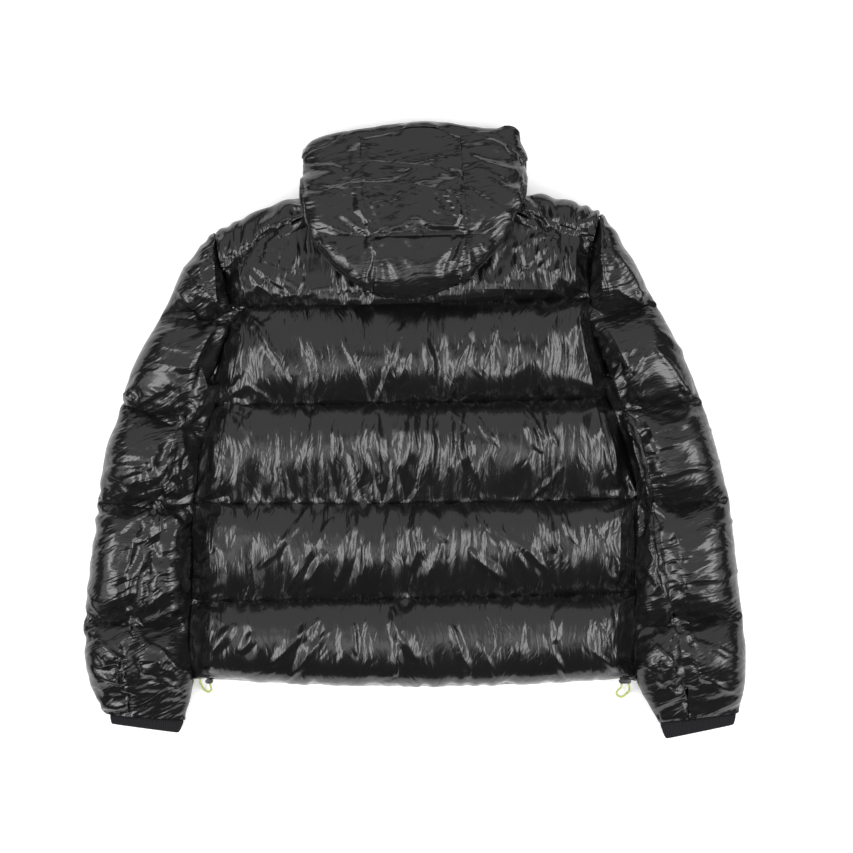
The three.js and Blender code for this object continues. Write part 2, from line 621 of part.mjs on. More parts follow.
// Cuff: a flattened ring of rib, its two layers a collapsed slit apart
function cuffPiece(corners) {
  const loopAt = (outer, inner, inset) => {
    const low = CUFF_LOW + inset;
    const high = CUFF_HIGH - inset;
    const length = Math.hypot(inner[0] - outer[0], inner[1] - outer[1]);
    const round = (high - low) / 2;
    const loop = [];
    const put = (d, z) => {
      const t = d / length;
      loop.push(point(mix(outer[0], inner[0], t), mix(outer[1], inner[1], t), z));
    };
    const start = inset + round;
    const end = length - inset - round;
    const middle = (high + low) / 2;
    const turns = CUFF_ANGLES.map((angle) => angle * Math.PI / 180);
    for (let i = 0; i <= CUFF_STEPS; i += 1) put(mix(start, end, i / CUFF_STEPS), high);
    for (const a of turns) put(end + round * Math.cos(a), middle + round * Math.sin(a));
    for (let i = CUFF_STEPS; i >= 0; i -= 1) put(mix(start, end, i / CUFF_STEPS), low);
    for (const a of turns) put(start - round * Math.cos(a), middle - round * Math.sin(a));
    return loop;
  };
  const ends = [[corners.topOuter, corners.topInner], [corners.lowOuter, corners.lowInner]];
  const levels = [0, 0.5, 1].map((t) => [0, 1].map((k) => [
    mix(ends[0][k][0], ends[1][k][0], t),
    mix(ends[0][k][1], ends[1][k][1], t),
  ]));
  return wall(
    levels.map(([outer, inner]) => loopAt(outer, inner, 0)),
    levels.map(([outer, inner]) => loopAt(outer, inner, CUFF_WALL)),
    true,
  );
}

// Lowest height that the hood may have at y: on the yoke, or past it on the chin pieces
function hoodFloor(y) {
  return mix(HOOD_ON_YOKE, HOOD_ON_CHIN, ease(313, 327, y));
}

// x of a long seam of the hood at y, on straight lines between the stations
function hoodSeam(seam, y) {
  const above = HOOD.findLastIndex((row) => row[`${seam}y`] >= y - 0.001);
  const from = HOOD[Math.min(Math.max(above, 0), HOOD.length - 1)];
  const to = HOOD[Math.min(above + 1, HOOD.length - 1)];
  if (from === to) return from[`${seam}x`];
  return mix(from[`${seam}x`], to[`${seam}x`], (y - from[`${seam}y`]) / (to[`${seam}y`] - from[`${seam}y`]));
}

// How far a long seam of the hood lies below the top of its station
const seamDip = (row) => mix(BULGE_SEAM_DIP, HOOD_SEAM_DIP, ease(195, 240, row.ly));

// Hood side: from the hood's long seam out to its edge and under it to the neck
function hoodSidePiece(side) {
  const seamShift = side * SEAM_GAP / 2;
  const last = HOOD.length - 1;
  const rows = HOOD.map((row, i) => {
    const v = i / last;
    const edge = side < 0 ? [row.lx, row.ly] : [row.rx, row.ry];
    const seam = side < 0 ? [row.ax + seamShift, row.ay] : [row.bx + seamShift, row.by];
    const neckY = mix(Math.min(edge[1], HOOD_FOLD_Y), NECK_Y, ease(0.1, 0.75, v));
    const low = [side * mix(HOOD_NECK_X, 58, ease(0.35, 1, v)), neckY];
    const floor = Math.max(hoodFloor(edge[1]), hoodFloor(low[1]));
    const middle = Math.min(HOOD_MID, floor + mix(17, 24.6, ease(310, 290, edge[1])));
    return foldedRow({
      edge,
      upperSeam: seam,
      lowerSeam: low,
      middle,
      rise: Math.max(3, row.top - middle - HOOD_SIDE_DIP),
      seamRise: Math.max(2, row.top - middle - seamDip(row)),
      floor,
      edgeWall: HOOD_SIDE_WALL,
    });
  });
  const knots = side < 0 ? BRIM.slice(0, BRIM_LEFT_KNOT + 1).reverse() : BRIM.slice(BRIM_RIGHT_KNOT);
  for (let k = 0; k < UPPER_STEPS.length; k += 1) {
    const shift = k === 0 ? seamShift : 0;
    rows[0].outer[k].setX(knots[k].seamX + shift).setY(knots[k].seamY - SEAM_GAP);
  }
  return wall(rows.map((row) => row.outer), rows.map((row) => row.inner));
}

// Hood centre: from the brim over the top to the bulge, and under it to the neck seam
function hoodCentrePiece() {
  const knots = BRIM.slice(BRIM_LEFT_KNOT, BRIM_RIGHT_KNOT + 1);
  const span = knots.at(-1).seamX - knots[0].seamX;
  const share = knots.map((knot) => (knot.seamX - knots[0].seamX) / span);
  const last = HOOD.length - 1;
  const outer = [];
  const inner = [];
  const addRow = (leftY, rightY, bow, innerLeftY, innerRightY, height, inside) => {
    const placed = (t, low, high, z, inset) => point(
      mix(hoodSeam('a', low) + inset, hoodSeam('b', high) - inset, t),
      mix(low, high, t) + bow(t),
      z,
    );
    outer.push(share.map((t) => placed(t, leftY, rightY, height(t), SEAM_GAP / 2)));
    inner.push(share.map((t) => placed(t, innerLeftY, innerRightY, inside, INNER_INSET)));
  };
  const arch = (t) => 4 * t * (1 - t);
  HOOD.forEach((row, i) => {
    const drop = BULGE_DROP * ease(last - 4, last, i);
    const shift = BULGE_WALL * ease(last - 3, last, i);
    addRow(row.ay, row.by, (t) => -drop * arch(t), row.ay + shift, row.by + shift,
      (t) => row.top - seamDip(row) * (1 - Math.sqrt(arch(t))), row.inside + SLIT / 2);
  });
  knots.forEach((knot, k) => {
    outer[0][k].setY(knot.seamY - SEAM_GAP);
    inner[0][k].setY(knot.seamY - SEAM_GAP);
  });
  const end = HOOD[last];
  const insideFrom = [end.ay + BULGE_WALL, end.by + BULGE_WALL];
  const addLowerRow = (left, right, height, step) => {
    const bow = (t, part) => -BULGE_DROP * (1 - part) * arch(t);
    const depth = (left - end.ay) / (NECK_Y - end.ay);
    const placed = (t, low, high, z, part) => point(
      mix(end.ax + SEAM_GAP / 2, end.bx - SEAM_GAP / 2, t),
      mix(low, high, t) + bow(t, part),
      z,
    );
    const innerLeft = mix(insideFrom[0], NECK_Y, step);
    const innerRight = mix(insideFrom[1], NECK_Y, step);
    outer.push(share.map((t) => placed(t, left, right, height, clamp01(depth))));
    inner.push(share.map((t) => placed(t, innerLeft, innerRight, HOOD_MID - SLIT / 2, step)));
  };
  BULGE.forEach(({ back, height }, k) => {
    addLowerRow(end.ay + back, end.by + back, height, k / BULGE.length);
  });
  addLowerRow(NECK_Y, NECK_Y, HOOD_ON_YOKE, 1);
  return wall(outer, inner);
}

// Brim: the padded edge of the hood's opening
function brimPiece() {
  return loft(BRIM.map((row, i) => {
    const ends = ease(0, 3, Math.min(i, BRIM.length - 1 - i));
    const low = HOOD_ON_CHIN;
    const high = mix(BRIM_END_TOP, BRIM_TOP, ends);
    const at = (t, z) => point(mix(row.seamX, row.edgeX, t), mix(row.seamY, row.edgeY, t), mix(low, high, z));
    return [
      at(0, 0), at(0, 0.9), at(0.3, 1), at(0.62, 0.96),
      at(0.88, 0.8), at(1, 0.5), at(0.88, 0.2), at(0.6, 0),
    ];
  }));
}

// Chin piece: the front of the hood's side, flat on the surface below the neck
const CHIN_ROWS = [
  { y: YOKE_SEAM_Y + SEAM_GAP / 2, outX: NECK_FRONT_X, zipX: ZIP_HALF },
  { y: 240, outX: 70.6, zipX: ZIP_HALF },
  { y: 275, outX: 82.2, zipX: ZIP_HALF },
  { y: 300, outX: 90.6, zipX: ZIP_HALF },
  { y: 316, outX: 92, zipX: 40 },
  { y: 322, outX: 143, zipX: 62 },
  { y: 331, outX: 144, zipX: 77 },
  { y: 345, outX: 144, zipX: 79 },
];
const CHIN_COLUMNS = [0, 0.25, 0.5, 0.75, 0.9, 0.97, 1];
const CHIN_END_ROWS = [0.5, 0.85, 1];

function chinPiece(side) {
  const outer = [];
  const inner = [];
  const last = CHIN_ROWS.at(-1);
  const endY = (u) => mix(CHIN_END_INNER_Y, CHIN_END_OUTER_Y, u * u);
  const addRow = (yAt, row, fromEnd) => {
    const free = row.y > CHIN_FREE_Y;
    const span = row.outX - row.zipX;
    const place = (u) => [side * (mix(row.zipX + SEAM_GAP, row.outX - SEAM_GAP, u)), yAt(u)];
    outer.push(CHIN_COLUMNS.map((u) => {
      const atEdge = free ? roundEdge((1 - u) * span, CHIN_ROUND) : 1;
      const rest = Math.min(atEdge, roundEdge(fromEnd, CHIN_ROUND));
      return point(...place(u), mix(CHIN_TOP - EDGE_LIP, 0, rest));
    }));
    inner.push(CHIN_COLUMNS.map((u) => point(...place(u), CHIN_TOP)));
  };
  for (const row of CHIN_ROWS) addRow(() => row.y, row, 40);
  for (const part of CHIN_END_ROWS) {
    addRow((u) => mix(last.y, endY(u), part), last, (1 - part) * 30);
  }
  return wall(outer, inner);
}

// Front zip, closed, and its slider on the outside
function zipChain() {
  const chain = new THREE.BoxGeometry(ZIP_HALF * 2, ZIP_TOP - ZIP_LOW, ZIP_THICKNESS);
  chain.deleteAttribute('normal');
  chain.deleteAttribute('uv');
  chain.translate(0, (ZIP_TOP + ZIP_LOW) / 2, ZIP_MIDDLE_Z);
  return chain;
}

function zipSlider() {
  const outline = new THREE.Shape();
  outline.moveTo(-2.5, -9);
  outline.lineTo(2.5, -9);
  outline.lineTo(3.7, 6);
  outline.lineTo(1.2, 6);
  outline.lineTo(0, 2);
  outline.lineTo(-1.2, 6);
  outline.lineTo(-3.7, 6);
  outline.closePath();
  const slider = new THREE.ExtrudeGeometry(outline, { depth: SLIDER_THICKNESS, bevelEnabled: false });
  slider.translate(0, ZIP_TOP - SLIDER_BELOW_TOP, SLIDER_Z);
  return slider;
}

function cordTube(route) {
  const path = new THREE.CatmullRomCurve3(route.map(([x, y, z]) => point(x, y, z)));
  const section = new THREE.Shape();
  for (let i = 0; i < CORD_SIDES; i += 1) {
    const a = (i / CORD_SIDES) * 2 * Math.PI;
    const place = [CORD_DIAMETER / 2 * Math.cos(a), CORD_DIAMETER / 2 * Math.sin(a)];
    if (i === 0) section.moveTo(...place);
    else section.lineTo(...place);
  }
  section.closePath();
  return new THREE.ExtrudeGeometry(section, { steps: CORD_STEPS, extrudePath: path, bevelEnabled: false });
}

function cordEnd({ x, width, y, depth, height }) {
  const outline = new THREE.Shape();
  const corner = CORD_END_CORNER;
  const hx = width / 2;
  const hy = depth / 2;
  outline.moveTo(-hx + corner, -hy);
  outline.lineTo(hx - corner, -hy);
  outline.lineTo(hx, -hy + corner);
  outline.lineTo(hx, hy - corner);
  outline.lineTo(hx - corner, hy);
  outline.lineTo(-hx + corner, hy);
  outline.lineTo(-hx, hy - corner);
  outline.lineTo(-hx, -hy + corner);
  outline.closePath();
  const block = new THREE.ExtrudeGeometry(outline, { depth: height, bevelEnabled: false });
  block.translate(x, y, MID - height / 2);
  return block;
}

// The whole jacket
addPiece('back', backPiece(), NYLON);
for (const [name, side] of [['left', -1], ['right', 1]]) {
  addPiece(`front_${name}`, frontPiece(side), NYLON);
  addPiece(`shoulder_${name}`, shoulderPiece(side), NYLON);
  addPiece(`sleeve_top_${name}`, sleevePiece(side, true), NYLON);
  addPiece(`sleeve_under_${name}`, sleevePiece(side, false), NYLON);
  addPiece(`cuff_${name}`, cuffPiece(CUFFS[name]), RIB);
  addPiece(`hood_side_${name}`, hoodSidePiece(side), NYLON);
  addPiece(`hood_chin_${name}`, chinPiece(side), NYLON);
  addPiece(`cord_end_${name}`, cordEnd(CORD_ENDS[name]), PLASTIC);
}
addPiece('hood_centre', hoodCentrePiece(), NYLON);
addPiece('hood_brim', brimPiece(), NYLON);
addPiece('zip_chain', zipChain(), PLASTIC);
addPiece('zip_slider', zipSlider(), PLASTIC);
addPiece('cord_left', cordTube(CORD_LEFT), ELASTIC);
addPiece('cord_right', cordTube(CORD_RIGHT), ELASTIC);

export default jacket;
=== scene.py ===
"""Dresses a hooded puffer jacket, laid flat on its front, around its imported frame."""

import json
import math

import bmesh
import bpy
import numpy as np
from bpy.props import FloatProperty, FloatVectorProperty, PointerProperty
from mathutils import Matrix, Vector
from mathutils.bvhtree import BVHTree
from mathutils.kdtree import KDTree

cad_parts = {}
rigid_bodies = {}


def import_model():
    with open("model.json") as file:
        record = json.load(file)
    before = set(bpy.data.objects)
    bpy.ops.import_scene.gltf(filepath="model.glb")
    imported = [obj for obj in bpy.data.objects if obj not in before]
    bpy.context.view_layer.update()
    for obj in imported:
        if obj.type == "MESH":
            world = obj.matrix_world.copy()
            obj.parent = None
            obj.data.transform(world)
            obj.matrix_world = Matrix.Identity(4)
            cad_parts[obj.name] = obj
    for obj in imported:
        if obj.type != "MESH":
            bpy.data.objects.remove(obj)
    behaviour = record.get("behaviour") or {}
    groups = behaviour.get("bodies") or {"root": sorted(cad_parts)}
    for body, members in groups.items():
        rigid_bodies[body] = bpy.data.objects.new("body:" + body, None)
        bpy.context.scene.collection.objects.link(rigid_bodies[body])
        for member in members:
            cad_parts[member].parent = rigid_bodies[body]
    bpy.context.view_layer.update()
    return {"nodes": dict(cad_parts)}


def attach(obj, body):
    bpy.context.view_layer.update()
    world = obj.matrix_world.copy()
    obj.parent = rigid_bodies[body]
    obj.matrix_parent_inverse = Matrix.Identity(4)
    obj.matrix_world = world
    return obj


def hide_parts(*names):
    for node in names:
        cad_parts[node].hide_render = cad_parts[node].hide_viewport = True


bl_info = {
    "name": "Puffer jacket",
    "version": (1, 0, 0),
    "blender": (4, 5, 0),
    "location": "View3D > Sidebar > Jacket",
    "description": "Makes the cloth, cords, stitches and zip of a quilted jacket",
    "category": "Object",
}

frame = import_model()
NODES = frame["nodes"]

# Photograph's frame: middle of the view and its width at the jacket's height, in metres
VIEW_CENTRE = (0.013, 0.0039)
VIEW_WIDTH = 1.1089
VIEW_HEIGHT = 0.04
LENS = 135.0
SENSOR = 36.0

# Drawcord loops, the route from one exit round to the other
CORD_ROUTES = {
    "left": [
        (-0.282, -0.3252, 0.032), (-0.2825, -0.329, 0.026), (-0.2815, -0.334, 0.015),
        (-0.2795, -0.339, 0.006), (-0.276, -0.3435, 0.0022), (-0.272, -0.344, 0.0022),
        (-0.269, -0.341, 0.008), (-0.2685, -0.337, 0.019), (-0.2685, -0.3338, 0.0304),
        (-0.2685, -0.3314, 0.031),
    ],
    "right": [
        (0.267, -0.3313, 0.032), (0.267, -0.3336, 0.0316), (0.2665, -0.3365, 0.026),
        (0.2645, -0.3395, 0.017), (0.2625, -0.343, 0.008), (0.2625, -0.347, 0.0026),
        (0.2655, -0.3505, 0.0018), (0.27, -0.3505, 0.0018), (0.275, -0.3465, 0.0028),
        (0.278, -0.342, 0.009), (0.278, -0.3375, 0.019), (0.2765, -0.3338, 0.0314),
        (0.276, -0.3313, 0.032),
    ],
}
CORD_POINTS = 36
CORD_SIDES = 16

# Cuffs: the outer and inner corner of each beside the sleeve
CUFF_ENDS = {
    "left": ((-0.402, -0.3727), (-0.303, -0.3801)),
    "right": ((0.419, -0.3708), (0.317, -0.3831)),
}

# Zip: the ends of its rows of teeth along the jacket, the height of its outer face, how far each
# row is off the middle, and the size of a tooth
ZIP_ENDS = (-0.329, 0.276)
ZIP_FACE = 0.0079
TOOTH_OFFSET = 0.0011
TOOTH = {"Length": 0.0011, "Width": 0.0034, "Height": 0.0014}

# Quilting seams as x and y along each, and the short seam at the right hem corner
QUILT_ROUTES = [
    [(-0.232, 0.163), (0.0, 0.163), (0.228, 0.160)],
    [(-0.252, 0.031), (0.0, 0.030), (0.246, 0.034)],
    [(-0.278, -0.096), (0.0, -0.096), (0.280, -0.094)],
    [(-0.286, -0.219), (0.0, -0.220), (0.282, -0.217)],
    [(-0.334, 0.144), (-0.300, 0.135), (-0.266, 0.126)],
    [(-0.384, 0.032), (-0.310, 0.001), (-0.277, -0.004)],
    [(-0.414, -0.094), (-0.337, -0.107), (-0.291, -0.099)],
    [(-0.432, -0.253), (-0.367, -0.253), (-0.297, -0.257)],
    [(0.244, 0.138), (0.280, 0.152), (0.312, 0.166)],
    [(0.267, 0.022), (0.281, 0.025), (0.345, 0.036), (0.368, 0.046)],
    [(0.288, -0.114), (0.306, -0.111), (0.341, -0.099), (0.406, -0.089)],
    [(0.288, -0.256), (0.340, -0.264), (0.362, -0.250), (0.425, -0.240)],
    [(-0.125, 0.252), (-0.054, 0.244), (-0.021, 0.249), (0.064, 0.254), (0.115, 0.261)],
]
HEM_CORNER_ROUTE = [(0.2745, -0.290), (0.2745, -0.305), (0.2745, -0.318)]

# Cloth mesh: how near points are merged, how sharp a crease is, and the rounds that even it out
MERGE = 2e-5
SHARP = math.radians(42)
SMOOTH_ROUNDS = 45


# Mesh helpers


def link(mesh, name):
    """A new object of this mesh, in the scene."""
    obj = bpy.data.objects.new(name, mesh)
    bpy.context.scene.collection.objects.link(obj)
    return obj


def drop(obj):
    """Removes an object and its mesh."""
    mesh = obj.data
    bpy.data.objects.remove(obj)
    bpy.data.meshes.remove(mesh)


def coords(mesh):
    co = np.empty(len(mesh.vertices) * 3)
    mesh.vertices.foreach_get("co", co)
    return co.reshape(-1, 3)


def set_coords(mesh, co):
    mesh.vertices.foreach_set("co", co.astype(np.float32).ravel())
    mesh.update()


def smooth_faces(mesh):
    mesh.polygons.foreach_set("use_smooth", [True] * len(mesh.polygons))
    mesh.update()


def quads_of(node_name):
    """A merged copy of a CAD node, its triangles joined to quads."""
    bm = bmesh.new()
    bm.from_mesh(NODES[node_name].data)
    bmesh.ops.remove_doubles(bm, verts=bm.verts, dist=MERGE)
    bmesh.ops.join_triangles(
        bm,
        faces=bm.faces,
        angle_face_threshold=math.radians(50),
        angle_shape_threshold=math.radians(80),
    )
    return bm


def cad_tree():
    """All CAD nodes as one tree for ray casts."""
    points, faces, owners = [], [], []
    for name, node in NODES.items():
        start = len(points)
        points += [v.co[:] for v in node.data.vertices]
        faces += [[start + i for i in p.vertices] for p in node.data.polygons]
        owners += [name] * len(node.data.polygons)
    return BVHTree.FromPolygons(points, faces), owners


CAD_TREE, FACE_OWNERS = cad_tree()


def node_tree(name):
    """One CAD node as a tree for nearest points."""
    data = NODES[name].data
    return BVHTree.FromPolygons([v.co[:] for v in data.vertices], [p.vertices[:] for p in data.polygons])


# Seams that lie almost level with the cloth beside them: the pieces that meet, and how level it is
FLUSH_SEAMS = [
    ("sleeve_top_left", "sleeve_under_left", 0.85),
    ("sleeve_top_right", "sleeve_under_right", 0.85),
    ("hood_centre", "hood_side_left", 0.9),
    ("hood_centre", "hood_side_right", 0.9),
    ("hood_brim", "hood_centre", 0.7),
    ("hood_brim", "hood_side_left", 0.7),
    ("hood_brim", "hood_side_right", 0.7),
    ("back", "shoulder_left", 0.75),
    ("back", "shoulder_right", 0.75),
]

# How far from a level seam the cloth is lifted, and how far it is evened out without its fullness
FLUSH_REACH = 0.02
LEVEL_REACH = 0.032

# The back's quilting seams from the yoke to the hem, and how far the crests between them shift
BACK_SEAMS = [0.162, 0.032, -0.0955, -0.219, -0.329]
SAGS = [0.0012, 0.0035, 0.0035, 0.003]

# Sides of the back: where the armhole ends, the side seam's height, how wide the CAD's wall is,
# how far in the cloth rounds over, and by how much; then how uneven the fill lies
ARMHOLE_Y = 0.13
SIDE_SEAM_Z = 0.036
SIDE_WALL = 0.016
SIDE_ROUND = 0.046
SIDE_DROP = 0.028
UNEVEN_FILL = 0.0032

# Fades of these: along the back from the armhole, up from the side seam, and in from the side
ARMHOLE_FADE = 0.04
SIDE_FADE = 0.01
LIFT_INWARD = 0.03

# The back's outline is read on this many rows, each from the points this near to it
OUTLINE_ROWS = 40
ROW_REACH = 0.012

# Sizes of the fill's broad and smaller lumps, and the share of the smaller ones
BROAD_LUMP = 0.05
SMALL_LUMP = 0.028
SMALL_SHARE = 0.6

# How far the back's quilting seams are lifted, and how far above and below each the lift reaches
SEAM_LIFT = 0.012
LIFT_ABOVE = 0.014
LIFT_BELOW = 0.034


def hemisphere(count):
    """Even directions over a half ball round +Z."""
    turn = math.pi * (3 - math.sqrt(5))
    rays = []
    for i in range(count):
        z = 0.12 + 0.86 * (i + 0.5) / count
        r = math.sqrt(1 - z * z)
        rays.append(Vector((r * math.cos(turn * i), r * math.sin(turn * i), z)))
    return rays


RAYS = hemisphere(28)


def is_seen(face):
    """True if some straight line leaves the jacket from this face."""
    turn = face.normal.to_track_quat("Z", "Y")
    start = face.calc_center_median() + face.normal * 0.0025
    return any(CAD_TREE.ray_cast(start, turn @ ray, 1.0)[0] is None for ray in RAYS)


def subdivided(mesh, levels):
    """A Catmull-Clark copy of a mesh."""
    temp = link(mesh, "temp")
    mod = temp.modifiers.new("smooth", "SUBSURF")
    mod.levels = mod.render_levels = levels
    mod.use_limit_surface = False
    depsgraph = bpy.context.evaluated_depsgraph_get()
    result = bpy.data.meshes.new_from_object(temp.evaluated_get(depsgraph))
    drop(temp)
    return result


def long_rows(bm, seen, limit):
    """Edges of the rows of seen quads whose mean length is over the limit."""
    parent = {}

    def root(e):
        while parent[e] != e:
            parent[e] = parent[parent[e]]
            e = parent[e]
        return e

    for face in bm.faces:
        if face[seen]:
            for e in face.edges:
                parent.setdefault(e.index, e.index)
            if len(face.loops) == 4:
                a, b, c, d = (loop.edge.index for loop in face.loops)
                parent[root(a)] = root(c)
                parent[root(b)] = root(d)
    total, count = {}, {}
    bm.edges.ensure_lookup_table()
    for e in parent:
        r = root(e)
        total[r] = total.get(r, 0) + bm.edges[e].calc_length()
        count[r] = count.get(r, 0) + 1
    return [bm.edges[e] for e in parent if total[root(e)] > limit * count[root(e)]]


def padded_mesh(node_name, edge):
    """A closed mesh of a CAD node, fine where it is seen, with seams marked as creases."""
    bm = quads_of(node_name)
    bm.normal_update()
    seen = bm.faces.layers.int.new("seen")
    crease = bm.edges.layers.float.new("crease_edge")
    for face in bm.faces:
        face[seen] = int(is_seen(face))
    for e in bm.edges:
        if len(e.link_faces) == 2 and e.calc_face_angle(0) > SHARP:
            e[crease] = 1.0
    mesh = bpy.data.meshes.new(node_name)
    bm.to_mesh(mesh)
    bm.free()
    mesh = subdivided(mesh, 1)
    bm = bmesh.new()
    bm.from_mesh(mesh)
    bpy.data.meshes.remove(mesh)
    seen = bm.faces.layers.int["seen"]
    while True:
        bm.edges.index_update()
        rows = long_rows(bm, seen, 1.5 * edge)
        if not rows:
            break
        bmesh.ops.subdivide_edges(bm, edges=rows, cuts=1, use_grid_fill=True)
    return bm


def neighbours(faces, count):
    """Up to eight neighbours of each point, across quads too; missing ones are the point itself."""
    pairs = [faces[:, [k, (k + 1) % 4]] for k in range(4)] + [faces[:, [0, 2]], faces[:, [1, 3]]]
    pairs = np.sort(np.concatenate(pairs), axis=1)
    pairs = np.unique(pairs[pairs[:, 0] != pairs[:, 1]], axis=0)
    source = np.concatenate([pairs[:, 0], pairs[:, 1]])
    target = np.concatenate([pairs[:, 1], pairs[:, 0]])
    order = np.argsort(source, kind="stable")
    source, target = source[order], target[order]
    rank = np.arange(len(source)) - np.searchsorted(source, source)
    keep = rank < 8
    table = np.tile(np.arange(count), (8, 1))
    table[rank[keep], source[keep]] = target[keep]
    return table


def quads_from(polygons):
    """Polygons as rows of four points, a triangle's first point twice."""
    return np.array([[p[k % len(p)] for k in range(4)] for p in polygons])


def quarter_round(share):
    """Height of a quarter circle, from 0 at its foot to 1 at its top."""
    return np.sqrt(1 - (1 - np.clip(share, 0, 1)) ** 2)


class Skin:
    """The seen part of a padded piece, ready for the cloth to settle."""

    def __init__(self, mesh):
        self.mesh = mesh
        co = coords(mesh)
        flags = np.empty(len(mesh.polygons), np.int32)
        mesh.attributes["seen"].data.foreach_get("value", flags)
        polygons = [p.vertices[:] for p in mesh.polygons if flags[p.index]]
        hidden = [p.vertices[:] for p in mesh.polygons if not flags[p.index]]
        edges = np.empty(len(mesh.edges) * 2, np.int64)
        mesh.edges.foreach_get("vertices", edges)
        crease = np.empty(len(mesh.edges), np.float32)
        mesh.attributes["crease_edge"].data.foreach_get("value", crease)
        held = np.zeros(len(co), bool)
        held[edges.reshape(-1, 2)[crease > 0.5].ravel()] = True
        if hidden:
            held[np.unique(np.concatenate([np.array(p) for p in hidden]))] = True
        quads = quads_from(polygons)
        self.used = np.unique(quads)
        index = np.full(len(co), -1)
        index[self.used] = np.arange(len(self.used))
        self.faces = index[quads]
        self.table = neighbours(self.faces, len(self.used))
        self.base = co[self.used]
        self.held = held[self.used]
        self.pinned = self.held | (self.base[:, 2] < 0.0012)
        self.flush = np.zeros(len(self.base))
        self.read_normals()

    def read_normals(self):
        normals = np.empty(len(self.mesh.vertices) * 3)
        self.mesh.vertices.foreach_get("normal", normals)
        self.normals = normals.reshape(-1, 3)[self.used]

    def uneven(self, u):
        """How far each point's value is from the mean of its neighbours' values."""
        return np.stack([sum(v[row] for row in self.table) / 8 - v for v in u.T], axis=1)

    def blurred(self, values, rounds):
        """Values of the free points, evened out round by round."""
        free = 0.6 * ~self.pinned[:, None]
        for _ in range(rounds):
            values = values + free * self.uneven(values)
        return values

    def even_out(self, rounds):
        """Takes the facets of the CAD surface out of the free points and keeps its fullness."""
        smooth = self.blurred(self.base, rounds)
        lost = np.where(self.pinned[:, None], 0, self.base - smooth)
        self.base = smooth + self.blurred(lost, 2 * rounds) * ((1 - self.flush) ** 1.5)[:, None]
        self.write(self.base)
        self.read_normals()

    def sag(self):
        """Rounds the back's sides and shifts the crest of each baffle towards its upper seam."""
        x, y, up = self.base[:, 0], self.base[:, 1], np.clip(self.normals[:, 2], 0, 1)
        rows = np.linspace(y.min(), y.max(), OUTLINE_ROWS)
        near = [x[np.abs(y - row) < ROW_REACH] for row in rows]
        left = np.interp(y, rows, [xs.min() for xs in near])
        right = np.interp(y, rows, [xs.max() for xs in near])
        inward = np.minimum(x - left, right - x)
        below = np.clip((ARMHOLE_Y - y) / ARMHOLE_FADE, 0, 1)
        below = below * np.clip((self.base[:, 2] - SIDE_SEAM_Z) / SIDE_FADE, 0, 1)
        drop_by = SIDE_DROP * (quarter_round(inward / SIDE_WALL) - quarter_round(inward / SIDE_ROUND))
        self.base[:, 2] -= np.where(self.pinned, 0, below * drop_by)
        lumps = value_noise(self.base[:, [0, 1]] / BROAD_LUMP, 3)
        lumps = lumps + SMALL_SHARE * value_noise(self.base[:, [0, 1]] / SMALL_LUMP, 4)
        self.base[:, 2] += np.where(self.pinned, 0, UNEVEN_FILL * up * lumps)
        for seam in BACK_SEAMS[:-1]:
            away = np.where(y > seam, (y - seam) / LIFT_ABOVE, (seam - y) / LIFT_BELOW)
            high = np.clip((self.base[:, 2] - SIDE_SEAM_Z) / SIDE_FADE, 0, 1)
            share = np.clip(inward / LIFT_INWARD, 0, 1)
            self.base[:, 2] += SEAM_LIFT * high * share * (1 - np.clip(away, 0, 1)) ** 2
        for top, low, sag in zip(BACK_SEAMS, BACK_SEAMS[1:], SAGS):
            v = np.clip((top - y) / (top - low), 0, 1)
            self.base[:, 2] += np.where(self.pinned, 0, sag * up * np.sin(2 * math.pi * v))

    def level_seams(self, name):
        """Lifts the cloth beside the seams that lie almost level with it."""
        places, lifts = [], []
        for a, b, share in FLUSH_SEAMS:
            if name in (a, b):
                tree = node_tree(b if name == a else a)
                for p in self.base[self.held & (self.base[:, 2] > 0.012)]:
                    if tree.find_nearest(Vector(p), 0.005)[0] is not None:
                        lift = share * (height_round(p) - p[2])
                        if lift > 0:
                            places.append(p)
                            lifts.append(lift)
        if not places:
            return
        seam = KDTree(len(places))
        for k, p in enumerate(places):
            seam.insert(p, k)
        seam.balance()
        for k, p in enumerate(self.base):
            near = seam.find_n(p, 6)
            self.flush[k] = max(1 - near[0][2] / LEVEL_REACH, 0)
            away = min(near[0][2] / FLUSH_REACH, 1.0)
            if away < 1:
                lift = sum(lifts[i] for _, i, _ in near) / len(near)
                self.base[k, 2] += lift * (1 - math.sqrt(1 - (1 - away) ** 2))

    def write(self, points):
        co = coords(self.mesh)
        co[self.used] = points
        co[:, 2] = np.maximum(co[:, 2], 0)
        set_coords(self.mesh, co)


def value_noise(points, seed):
    """Smooth noise from -1 to 1 at points, two or three numbers each."""
    cell = np.floor(points).astype(np.int64)
    part = points - cell
    part = part * part * (3 - 2 * part)
    total = np.zeros(len(points))
    dims = points.shape[1]
    primes = np.array([73856093, 19349663, 83492791])[:dims]
    for corner in range(2 ** dims):
        step = np.array([(corner >> d) & 1 for d in range(dims)])
        h = ((cell + step) * primes).sum(1) + seed * 2654435761
        h = (h ^ (h >> 13)) * 1274126177
        h = (h ^ (h >> 16)) & 0xFFFF
        weight = np.prod(np.where(step, part, 1 - part), axis=1)
        total += weight * (h / 32767.5 - 1)
    return total


